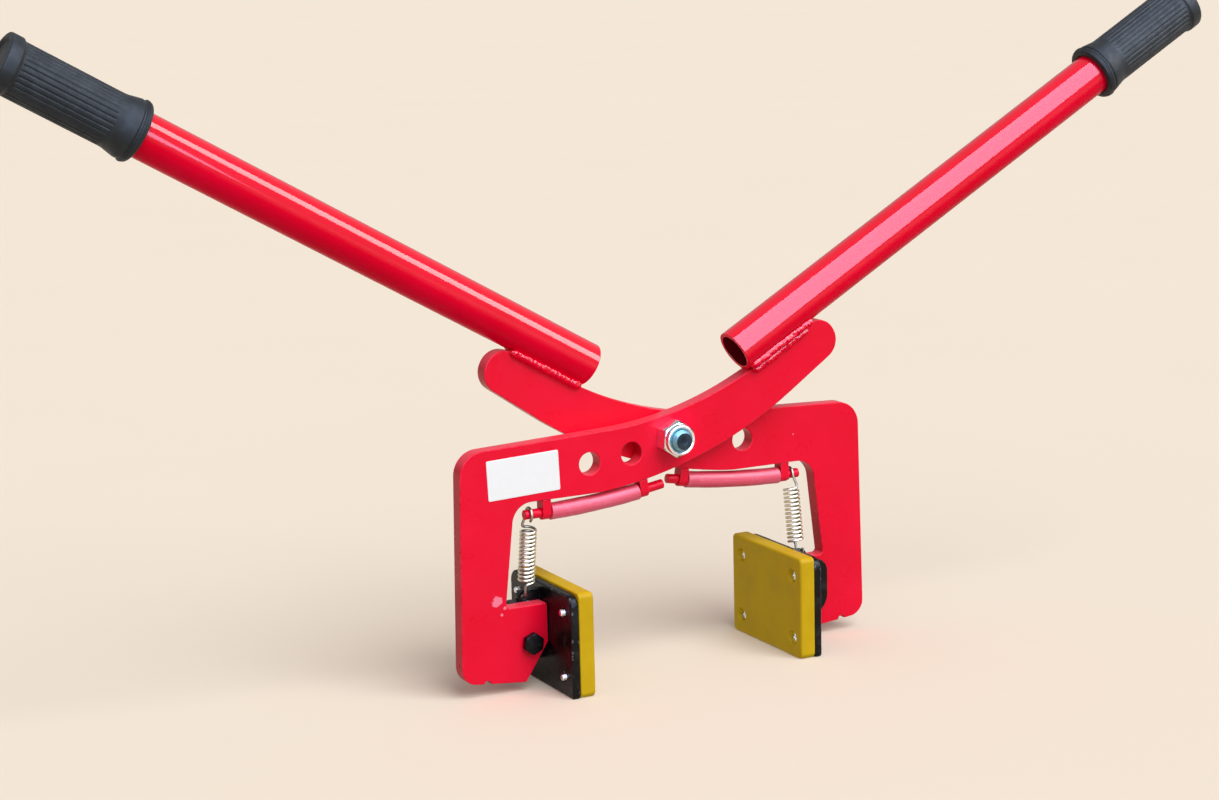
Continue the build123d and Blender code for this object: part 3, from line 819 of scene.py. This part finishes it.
welder = Jig("weld bead", radius="Float", pitch="Float", ripple="Float", wander="Float", seed="Float")
seam = welder.node("GeometryNodeMeshToCurve", None, {"Mesh": welder.source})
share = welder.node("GeometryNodeSplineParameter", out="Factor")
run = welder.node("GeometryNodeSplineParameter", out="Length")
sockets = {"Geometry": seam, "Name": "run", "Value": run}
seam = welder.node("GeometryNodeStoreNamedAttribute", {"data_type": "FLOAT"}, sockets)
taper = welder.between(share, -0.04, 0.06) * welder.between(1 - share, -0.04, 0.05)
sockets = {"Resolution": BEAD_SIDES, "Radius": welder.input("radius")}
round_wire = welder.node("GeometryNodeCurvePrimitiveCircle", None, sockets)
sockets = {"Curve": seam, "Profile Curve": round_wire, "Scale": taper, "Fill Caps": True}
bead = welder.node("GeometryNodeCurveToMesh", None, sockets)
laid = welder.node("GeometryNodeInputNamedAttribute", None, {"Name": "run"})
settings = {"noise_dimensions": "4D"}
seed = welder.input("seed")
lumps = welder.node("ShaderNodeTexNoise", settings, {"W": seed, "Scale": LUMP_SCALE, "Detail": 3})
lean = welder.node("ShaderNodeTexNoise", settings, {"W": seed, "Scale": LEAN_SCALE, "Detail": 1})
phase = laid / welder.input("pitch") * (2 * pi) + lean * RIPPLE_LEAN
ripple = laid.sum("SINE", phase) * welder.input("ripple")
unevenness = (lumps - 0.5) + (lean - 0.5) * 0.5
welder.close(welder.along_normal(bead, ripple + unevenness * welder.input("wander")))
print(f"weld jig: {len(welder.tree.nodes)} nodes")

# %% Weld beads
BEAD_RUNS = ((9.8, 13.2, 79, 139), (6.8, 18.2, 80, 134), (-7, 16.8, 78.5, 140))
BEAD_RADIUS, BEAD_STEP, BEAD_WANDER, BEAD_SEED = 3.3, 0.5, 2.4, 3.0
RIPPLE_PITCH, RIPPLE_HEIGHT = 3.6, 0.14


def paths(lines):
    """A mesh of bare edges along some lists of points in millimetres."""
    mesh = bpy.data.meshes.new("path")
    points, edges = [], []
    for line in lines:
        first = len(points)
        points += [place * MM for place in line]
        edges += [(k, k + 1) for k in range(first, len(points) - 1)]
    mesh.from_pydata(points, edges, [])
    return mesh


seams = []
for out, drop, start, end in BEAD_RUNS:
    steps = int((end - start) / BEAD_STEP)
    stations = [handle_line(start + BEAD_STEP * k) for k in range(steps + 1)]
    seams.append([centre + across * out - up * drop for centre, across, up in stations])
beads = welder.run(
    paths(seams),
    tube_red,
    radius=BEAD_RADIUS * MM,
    pitch=RIPPLE_PITCH * MM,
    ripple=RIPPLE_HEIGHT * MM,
    wander=BEAD_WANDER * MM,
    seed=BEAD_SEED,
)
fit_pair("weld_beads", beads, tube_red, "handle_weld")

# %% [markdown]
# ## Bumper rods and hoses
# Under each beam a rod, bowed down a little, is held by two eyes and wears a piece of hose. Rod and
# hose follow one arc through three points. The hose is cut by hand with a knife, so its ends lean a
# little, and it swells and thins by a tenth of a millimetre along its run.

# %% Bumper rods
ROD_OUTER, ROD_INNER = Vector((-117, -43.9)), Vector((-5.3, -34.8))
ROD_SAG, ROD_RADIUS, ROD_STATIONS = 2.5, 3.5, 24

chord = ROD_INNER - ROD_OUTER
bow_radius = (chord.length_squared / 4 + ROD_SAG**2) / (2 * ROD_SAG)
bow_up = Vector((-chord.y, chord.x)).normalized()
bow_centre = (ROD_OUTER + ROD_INNER) / 2 + bow_up * (bow_radius - ROD_SAG)
bow_start = atan2(*reversed(ROD_OUTER - bow_centre))
bow_end = atan2(*reversed(ROD_INNER - bow_centre))
ROD_LENGTH = bow_radius * (bow_end - bow_start)


def rod_line(along):
    """Section across the front bumper rod, some way from its outer end."""
    angle = bow_start + along / bow_radius
    place = bow_centre + bow_radius * Vector((cos(angle), sin(angle)))
    centre = Vector((place.x, -PLATE_MIDDLE, PIVOT_HEIGHT + place.y))
    return centre, OUT, Vector((-cos(angle), 0, -sin(angle)))


rod_corners = [(0, 0, 0), (ROD_RADIUS, 0, 0.7)]
rod_corners += [(ROD_RADIUS, ROD_LENGTH * k / ROD_STATIONS, 0) for k in range(1, ROD_STATIONS)]
rod_corners += [(ROD_RADIUS, ROD_LENGTH, 0.7), (0, ROD_LENGTH, 0)]
rod_profile = eased(rod_corners)
rod = even_shading(turned(rod_line, lambda angle: rod_profile, sides=40))
fit_pair("bumper_rod_painted", rod, plate_red, "bumper_rod")
print(f"rod {ROD_LENGTH:.1f} mm long")

# %% Hoses
HOSE_RADIUS, HOSE_BORE, HOSE_CUT_LEAN = 6.15, 3.8, 0.3
HOSE_SWELLS = ((0.07, 0.19, 0), (0.03, 0.53, 2))
HOSE_STATIONS, BORE_STATIONS = 40, 10
FRONT_HOSE, REAR_HOSE = (20.1, 91.7), (17.3, 96.3)


def cut_hose(first, last):
    """A hose on the front rod between two places on it, with leaning ends and a slightly uneven skin."""

    def section(angle):
        start = first + HOSE_CUT_LEAN * (1 + sin(angle))
        end = last - HOSE_CUT_LEAN * (1 + sin(angle + 0.6))
        outside = [(HOSE_RADIUS, start, 0.35)]
        for k in range(1, HOSE_STATIONS):
            along = start + (end - start) * k / HOSE_STATIONS
            swell = sum(high * sin(along * rate + turns * angle) for high, rate, turns in HOSE_SWELLS)
            outside.append((HOSE_RADIUS + swell, along, 0))
        outside.append((HOSE_RADIUS, end, 0.35))
        inside = []
        for k in range(BORE_STATIONS + 1):
            rounding = 0.2 if k in (0, BORE_STATIONS) else 0
            inside.append((HOSE_BORE, end - (end - start) * k / BORE_STATIONS, rounding))
        return eased(outside + inside, loop=True)

    return turned(rod_line, section, sides=64, loop=True)


for side, ends, move in zip(ARMS, (FRONT_HOSE, REAR_HOSE), (Matrix(), to_rear())):
    hose = cut_hose(*ends)
    hose.transform(move)
    fit(f"{side}_hose_cut", hose, hose_red, f"{side}_arm", f"{side}_bumper_hose")

# %% [markdown]
# ## Nuts and bolts
# A hexagon is a ring whose radius depends on the angle. Its corners are cut by a cone, which gives the
# curved edges that every real nut has. A thread is a ring whose radius depends on the angle and the run
# together, so it winds by itself.

# %% Hexagons and threads
CORNER_CUT, HEX_CORNER, HEX_FLAT, HEX_FOOT = tan(radians(30)), 0.985, 0.96, 0.3
THREAD_SLOPE, THREAD_STEPS = 0.72, 8
ALONG_X = Vector((1, 0, 0))


def hexagon(angle, across_flats, turn=0):
    """Distance from the axis to a hexagon's side at an angle, with its corners eased."""
    from_flat = (angle - turn) % (pi / 3) - pi / 6
    return min(across_flats / 2 / cos(from_flat), HEX_CORNER * across_flats / sqrt(3))


def hex_side(angle, across_flats, bottom, top, turn=0, both=False):
    """A hexagon's side from bottom to top, with its corners coned off at the top, or at both ends."""
    radius, flat = hexagon(angle, across_flats, turn), across_flats / 2 * HEX_FLAT
    fall = (radius - flat) * CORNER_CUT
    low = bottom + fall if both else bottom
    foot = flat if both else radius - HEX_FOOT
    return [(foot, bottom, 0), (radius, low + HEX_FOOT, 0), (radius, top - fall, 0), (flat, top, 0)]


def threaded(angle, radius, start, end, pitch):
    """Points along a thread, from start to end, at an angle round it."""
    count = int(abs(end - start) / pitch * THREAD_STEPS)
    points = []
    for k in range(count + 1):
        along = start + (end - start) * k / count
        phase = (along / pitch - angle / (2 * pi)) % 1
        points.append((radius - THREAD_SLOPE * pitch * abs(phase - 0.5), along, 0))
    return points


def cross_line(x, level):
    """A line square to the plates at a place on the front arm, running out from its outer face."""
    return lambda along: (Vector((x, -PLATE_OUTER - along, level)), ALONG_X, UP)


print("hexagons and threads ready")

# %% Pivot lock nut, its ring and its bolt
PIVOT_HEX, NUT_HEX_HEIGHT, NUT_HEIGHT, NUT_TURN = 24, 11.5, 15.5, radians(25)
COLLAR_RADIUS, RING_OUTER, RING_SEAT, BOLT_RADIUS = 11.25, 9.7, 12.5, 8
HEAD_HEIGHT, BOLT_END, BOLT_END_CUT, HEAD_FACE = 10, 19.5, 2, -25
LIP_RADIUS, NUT_BORE, BOLT_RIM, HEAD_SEAT, BOLT_PITCH = 8.8, 8.1, 6, 11.4, 2


def lock_nut(angle):
    outside = hex_side(angle, PIVOT_HEX, 0, NUT_HEX_HEIGHT, NUT_TURN)
    collar = [(COLLAR_RADIUS, NUT_HEX_HEIGHT + 0.4, 0.3), (COLLAR_RADIUS, NUT_HEIGHT - 1.6, 0)]
    crimp = [(COLLAR_RADIUS - 0.3, NUT_HEIGHT - 0.4, 0.3), (COLLAR_RADIUS - 0.9, NUT_HEIGHT, 0.3)]
    lip = [(LIP_RADIUS, NUT_HEIGHT - 0.3, 0.3), (RING_OUTER, NUT_HEIGHT - 1, 0.2)]
    inside = [(RING_OUTER, RING_SEAT, 0), (NUT_BORE, RING_SEAT, 0), (NUT_BORE, 0, 0)]
    return eased(outside + collar + crimp + lip + inside, loop=True)


def lock_ring(angle):
    rim = RING_OUTER - 0.1
    foot = [(NUT_BORE, RING_SEAT, 0), (rim, RING_SEAT, 0), (rim, NUT_HEIGHT - 1.2, 0.2)]
    crown = [(LIP_RADIUS, NUT_HEIGHT - 0.6, 0.2), (NUT_BORE, NUT_HEIGHT - 0.8, 0.3)]
    return eased(foot + crown, loop=True)


def pivot_bolt(angle):
    dimple = [(0, BOLT_END - 0.3, 0), (2.2, BOLT_END - 0.2, 0)]
    tip = dimple + [(3, BOLT_END, 0.3), (BOLT_RIM, BOLT_END, 0.3)]
    thread = threaded(angle, BOLT_RADIUS, BOLT_END - BOLT_END_CUT, -1, BOLT_PITCH)
    shank = [(BOLT_RADIUS, -2, 0), (BOLT_RADIUS, HEAD_FACE, 0)]
    shank += [(HEAD_SEAT, HEAD_FACE, 0), (HEAD_SEAT, HEAD_FACE - 0.5, 0)]
    head = [(r, HEAD_FACE - s, c) for r, s, c in hex_side(angle, PIVOT_HEX, 0.5, HEAD_HEIGHT)]
    return eased(tip + thread + shank + head + [(0, HEAD_FACE - HEAD_HEIGHT, 0)])


pivot_line = cross_line(0, PIVOT_HEIGHT)
nut = even_shading(turned(pivot_line, lock_nut, sides=144, loop=True))
fit("pivot_nut_plated", nut, nut_zinc, "front_arm", "pivot_nut")
ring = even_shading(turned(pivot_line, lock_ring, sides=96, loop=True))
fit("pivot_ring_nylon", ring, ring_nylon, "front_arm", "pivot_nut_insert")
bolt = even_shading(turned(pivot_line, pivot_bolt, sides=96))
bright = bolt.attributes.new("edge", "FLOAT", "POINT")
for point, share in zip(bolt.vertices, bright.data):
    from_axis = point.co / MM - Vector((0, point.co.y / MM, PIVOT_HEIGHT))
    share.value = float(from_axis.length > BOLT_RIM + 0.1)
fit("pivot_bolt_steel", bolt, bolt_steel, "front_arm", "pivot_bolt")

# %% Pivot washer
WASHER_BORE, WASHER_RADIUS, WASHER_FRONT, WASHER_BACK, WASHER_EDGE = 8.25, 15, -12, -13, 0.2

washer_corners = [
    (WASHER_BORE, WASHER_BACK, WASHER_EDGE),
    (WASHER_RADIUS, WASHER_BACK, WASHER_EDGE),
    (WASHER_RADIUS, WASHER_FRONT, WASHER_EDGE),
    (WASHER_BORE, WASHER_FRONT, WASHER_EDGE),
]
washer_edges = eased(washer_corners, loop=True)
washer = even_shading(turned(pivot_line, lambda angle: washer_edges, sides=96, loop=True))
fit("pivot_washer_plated", washer, nut_zinc, "front_arm", "pivot_washer")

# %% Jaw bolts and nuts
JAW_BOLT_PLACE, JAW_RADIUS = (-116.4, 35), 4
JAW_HEX, JAW_HEX_TURN, JAW_HEAD = 14, radians(22), 5.3
JAW_NUT_FACE, JAW_NUT_BACK, JAW_NUT_BORE, JAW_BOLT_END = -22.8, -29.6, 4.1, -31.6
JAW_SEAT, JAW_PITCH = 6.7, 1.25


def jaw_bolt(angle):
    head = hex_side(angle, JAW_HEX, 0.4, JAW_HEAD, JAW_HEX_TURN)
    seat = [(JAW_SEAT, 0.4, 0), (JAW_SEAT, 0, 0), (JAW_RADIUS, 0, 0), (JAW_RADIUS, JAW_NUT_FACE + 2, 0)]
    thread = threaded(angle, JAW_RADIUS, JAW_NUT_FACE, JAW_BOLT_END + 0.8, JAW_PITCH)
    tip = [(JAW_RADIUS - 0.9, JAW_BOLT_END, 0.3), (0, JAW_BOLT_END, 0)]
    return eased([(0, JAW_HEAD, 0)] + list(reversed(head)) + seat + thread + tip)


def jaw_nut(angle):
    side = hex_side(angle, JAW_HEX, JAW_NUT_BACK, JAW_NUT_FACE, both=True)
    front = [(JAW_NUT_BORE + 0.5, JAW_NUT_FACE, 0.3), (JAW_NUT_BORE, JAW_NUT_FACE - 0.5, 0)]
    rear = [(JAW_NUT_BORE, JAW_NUT_BACK + 0.5, 0), (JAW_NUT_BORE + 0.5, JAW_NUT_BACK, 0.3)]
    return eased(side + front + rear, loop=True)


jaw_line = cross_line(*JAW_BOLT_PLACE)
bolt = even_shading(turned(jaw_line, jaw_bolt, sides=96))
fit_pair("jaw_bolt_black", bolt, black, "jaw_bolt", JAWS)
nut = even_shading(turned(jaw_line, jaw_nut, sides=96, loop=True))
fit_pair("jaw_nut_black", nut, black, "jaw_nut", JAWS)

# %% [markdown]
# ## Pad screws
# Four countersunk screws go in from each pad's face, thread into the backing plate and stand out behind
# it, bright against the black. One screw is turned with its thread and a crossed slot pressed in its
# head, and a jig sets it on the four holes, each with its own seeded twist.

# %% One pad screw
SCREW_RADIUS, SCREW_TAIL, SCREW_FACE, SCREW_HEAD, SCREW_CONE = 2.5, -2.6, 15, 5, 2.5
SCREW_THREAD_END, SCREW_PITCH = 8, 0.8
CROSS_ARM, CROSS_HALF_WIDTH, CROSS_DEPTH = 2.6, 0.55, 1.7
CROSS_SIDE_EASE, CROSS_END_EASE, HEAD_RINGS, HEAD_RIM = 0.25, 0.5, 14, 0.97


def pad_screw(angle):
    """A countersunk screw along its own x, from its tip behind the plate to its head in the pad."""
    tip = [(0, SCREW_TAIL, 0), (SCREW_RADIUS - 0.6, SCREW_TAIL, 0.2)]
    thread = threaded(angle, SCREW_RADIUS, SCREW_TAIL + 0.6, SCREW_THREAD_END, SCREW_PITCH)
    shank = [(SCREW_RADIUS, SCREW_THREAD_END + 0.4, 0), (SCREW_RADIUS, SCREW_FACE - SCREW_CONE, 0)]
    head = shank + [(SCREW_HEAD, SCREW_FACE - 0.2, 0.1)]
    dish = []
    for k in range(HEAD_RINGS):
        radius = SCREW_HEAD * HEAD_RIM * (1 - k / HEAD_RINGS)
        x, y = abs(radius * cos(angle)), abs(radius * sin(angle))
        across, reach = min(x, y), max(x, y)
        in_width = max(0, min(1, (CROSS_HALF_WIDTH - across) / CROSS_SIDE_EASE))
        in_length = max(0, min(1, (CROSS_ARM - reach) / CROSS_END_EASE))
        dish.append((radius, SCREW_FACE - CROSS_DEPTH * in_width * in_length, 0))
    return eased(tip + thread + head + dish + [(0, SCREW_FACE - CROSS_DEPTH, 0)])


def screw_line(along):
    """Section across a screw that lies along x."""
    return ALONG_X * along, Vector((0, 1, 0)), UP


screw_mesh = even_shading(turned(screw_line, pad_screw, sides=48))
screw = put("one_screw", screw_mesh)
print(f"one screw: {len(screw_mesh.polygons)} faces")

# %% Screws on the jaws
BACKING_FACE, SCREW_MIDDLE, SCREW_ALONG, SCREW_UP, SCREW_SEED = -102.8, 37.25, 37, 23.5, 5

setter = Jig("screws on holes", screw="Object", seed="Int")
pattern = setter.node("GeometryNodeObjectInfo", None, {"Object": setter.input("screw")}, out="Geometry")
sockets = {2: 0.0, 3: 2 * pi, "Seed": setter.input("seed")}
twist = setter.node("FunctionNodeRandomValue", {"data_type": "FLOAT"}, sockets, out=1)
way = setter.node("FunctionNodeAxisAngleToRotation", None, {"Axis": (1, 0, 0), "Angle": twist})
sockets = {"Points": setter.source, "Instance": pattern, "Rotation": way}
setter.close(setter.node("GeometryNodeInstanceOnPoints", None, sockets))
offsets = [(y, z) for y in (-SCREW_ALONG, SCREW_ALONG) for z in (-SCREW_UP, SCREW_UP)]
holes = [Vector((BACKING_FACE, y, SCREW_MIDDLE + z)) * MM for y, z in offsets]
hole_mesh = bpy.data.meshes.new("holes")
hole_mesh.from_pydata(holes, [], [])
screws = setter.run(hole_mesh, nut_zinc, screw=screw, seed=SCREW_SEED)
bpy.data.objects.remove(screw)
fit_pair("pad_screws_plated", screws, nut_zinc, "pad_screws", JAWS, ("left_jaw", "right_jaw"))

# %% [markdown]
# ## Return springs
# Each jaw is pulled back by an open coil with a hook at each end, one over the bumper rod and one in
# the jaw's eye. The wire's line is written as it is bent: the upper hook, a neck, the coil, a quarter
# bend, a shank and the lower hook. A jig sweeps the wire along it, and the spring rides on no body.

# %% Line of the spring wire
COIL_RADIUS, HOOK_RADIUS, COIL_TURNS, STEPS_A_TURN = 5.3, 4.9, 13.5, 36
HOOK_NECK, HOOK_BEND, HOOK_SHANK, HOOK_TIP = 11, 2.6, 3, 0.6
NECK_REACH, QUARTER_REACH = 0.485 * HOOK_NECK, 0.552 * HOOK_BEND
UPPER_HOOK_END, LOWER_HOOK_START, LOWER_HOOK_END, BEND_STEPS = 230, 180, 360, 16
SPRING_FOOT, SPRING_TOP = Vector((-113, 2, 70.7)), Vector((-112.8, -PLATE_MIDDLE, 126.98))
HOOK_STEP = 10

SPRING_HEIGHT = (SPRING_TOP - SPRING_FOOT).length
SPRING_UP = (SPRING_TOP - SPRING_FOOT) / SPRING_HEIGHT
SPRING_ASIDE = (ALONG_X - SPRING_UP * SPRING_UP.x).normalized()
SPRING_BEHIND = SPRING_UP.cross(SPRING_ASIDE)
COIL_BOTTOM, COIL_TOP = HOOK_BEND + HOOK_SHANK, SPRING_HEIGHT - HOOK_NECK


def wire_point(aside, behind, up):
    """A point of the front spring: aside from its axis, behind it, and up it from its foot."""
    return SPRING_FOOT + SPRING_ASIDE * aside + SPRING_BEHIND * behind + SPRING_UP * up


def hook_arc(aside, level, first, last):
    """Points round a hook, from one angle to another in degrees."""
    steps = int(abs(last - first) / HOOK_STEP)
    angles = [radians(first + (last - first) * k / steps) for k in range(steps + 1)]
    return [wire_point(aside, HOOK_RADIUS * cos(a), level + HOOK_RADIUS * sin(a)) for a in angles]


def bend(start, start_way, end, end_way, reach):
    """Points along a smooth bend that leaves one place and comes to another in given directions."""
    pulls = (start, start + start_way * reach, end - end_way * reach, end)
    points = []
    for k in range(1, BEND_STEPS):
        t = k / BEND_STEPS
        weights = ((1 - t) ** 3, 3 * t * (1 - t) ** 2, 3 * t * t * (1 - t), t**3)
        points.append(sum((pull * weight for pull, weight in zip(pulls, weights)), Vector()))
    return points


coil = []
for k in range(int(COIL_TURNS * STEPS_A_TURN) + 1):
    turn_angle = 2 * pi * k / STEPS_A_TURN
    level = COIL_TOP - (COIL_TOP - COIL_BOTTOM) * k / (COIL_TURNS * STEPS_A_TURN)
    coil.append(wire_point(COIL_RADIUS * sin(turn_angle), COIL_RADIUS * cos(turn_angle), level))
upper_hook = hook_arc(0, SPRING_HEIGHT, UPPER_HOOK_END, 0)
lower_hook = hook_arc(-HOOK_BEND, 0, LOWER_HOOK_START, LOWER_HOOK_END)
shank_top = wire_point(-HOOK_BEND, -HOOK_RADIUS, HOOK_SHANK)
neck = bend(upper_hook[-1], -SPRING_UP, coil[0], SPRING_ASIDE, NECK_REACH)
quarter = bend(coil[-1], -SPRING_ASIDE, shank_top, -SPRING_UP, QUARTER_REACH)
first_tip = upper_hook[0] + (upper_hook[0] - upper_hook[1]).normalized() * HOOK_TIP
last_tip = lower_hook[-1] + (lower_hook[-1] - lower_hook[-2]).normalized() * HOOK_TIP
wire = [first_tip] + upper_hook + neck + coil + quarter + [shank_top] + lower_hook + [last_tip]
print(f"{len(wire)} points along the wire")

# %% Return springs
WIRE_RADIUS, WIRE_SIDES, HOOK_SHADE, REAR_SHIFT = 1, 14, 0.7, 2.5

winder = Jig("spring wire", radius="Float", sides="Int")
path = winder.node("GeometryNodeMeshToCurve", None, {"Mesh": winder.source})
sockets = {"Resolution": winder.input("sides"), "Radius": winder.input("radius")}
round_wire = winder.node("GeometryNodeCurvePrimitiveCircle", None, sockets)
sockets = {"Curve": path, "Profile Curve": round_wire, "Fill Caps": True}
winder.close(winder.node("GeometryNodeCurveToMesh", None, sockets))
spring = winder.run(paths([wire]), spring_zinc, radius=WIRE_RADIUS * MM, sides=WIRE_SIDES)
# Painted shade: the coil's inner faces darken by how far they face the axis, and the hooks and bends by a
# fixed share.
inside = spring.attributes.new("inside", "FLOAT", "POINT")
for point, share in zip(spring.vertices, inside.data):
    level = (point.co / MM - SPRING_FOOT).dot(SPRING_UP)
    from_axis = point.co / MM - wire_point(0, 0, level)
    facing_in = max(0, -from_axis.normalized().dot(point.normal))
    share.value = facing_in if COIL_BOTTOM < level < COIL_TOP else HOOK_SHADE
springs = fit_pair("spring_wound", spring, spring_zinc, "jaw_spring", JAWS, (None, None), REAR_SHIFT)
places = (("front_arm", "left_jaw", Matrix()), ("rear_arm", "right_jaw", to_rear(REAR_SHIFT)))
for piece, (arm, jaw, move) in zip(springs, places):
    top, bottom = [move @ (wire_point(0, 0, level) * MM) for level in (COIL_TOP, COIL_BOTTOM)]
    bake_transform(piece)
    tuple(top)
    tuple(bottom)

# %% [markdown]
# ## Blank label
# A white label sits on the front shoulder, bare. It is a thin sheet with small round corners, and its
# rim is pressed a little lower than its middle, as a stuck label's is.

# %% Blank label
LABEL_CENTRE, LABEL_SIZE, LABEL_SLOPE = (-119, 157), (56, 29), radians(2.2)
LABEL_CORNER, LABEL_CORNER_STEPS, LABEL_THICKNESS = 1.2, 6, 0.3
LABEL_RINGS = ((0, 0), (0, 0.5), (0.2, 0.8), (1.2, 1))


def label_rim(inset):
    """Points round the label, in its own plane, some way in from its rim."""
    half_x, half_z = LABEL_SIZE[0] / 2 - inset, LABEL_SIZE[1] / 2 - inset
    corner = max(0.1, LABEL_CORNER - inset)
    rim = []
    for k, (x, z) in enumerate(((1, 1), (-1, 1), (-1, -1), (1, -1))):
        for step in range(LABEL_CORNER_STEPS + 1):
            angle = radians(90 * (k + step / LABEL_CORNER_STEPS))
            across = x * (half_x - corner) + corner * cos(angle)
            rim.append((across, z * (half_z - corner) + corner * sin(angle)))
    return rim


points, faces = [], []
for inset, share in LABEL_RINGS:
    for x, z in label_rim(inset):
        across = LABEL_CENTRE[0] + x * cos(LABEL_SLOPE) - z * sin(LABEL_SLOPE)
        level = LABEL_CENTRE[1] + x * sin(LABEL_SLOPE) + z * cos(LABEL_SLOPE)
        points.append(Vector((across, -PLATE_OUTER - LABEL_THICKNESS * share, level)) * MM)
count = len(points) // len(LABEL_RINGS)
for ring in range(len(LABEL_RINGS) - 1):
    near, far = ring * count, (ring + 1) * count
    for k in range(count):
        n = (k + 1) % count
        faces.append((near + k, near + n, far + n, far + k))
faces += [tuple(range(count)), tuple(range(len(points) - count, len(points)))]
label = bpy.data.meshes.new("label")
label.from_pydata(points, [], faces)
fit("label_bare", even_shading(closed_up(label)), label_vinyl, "front_arm", "blank_label")
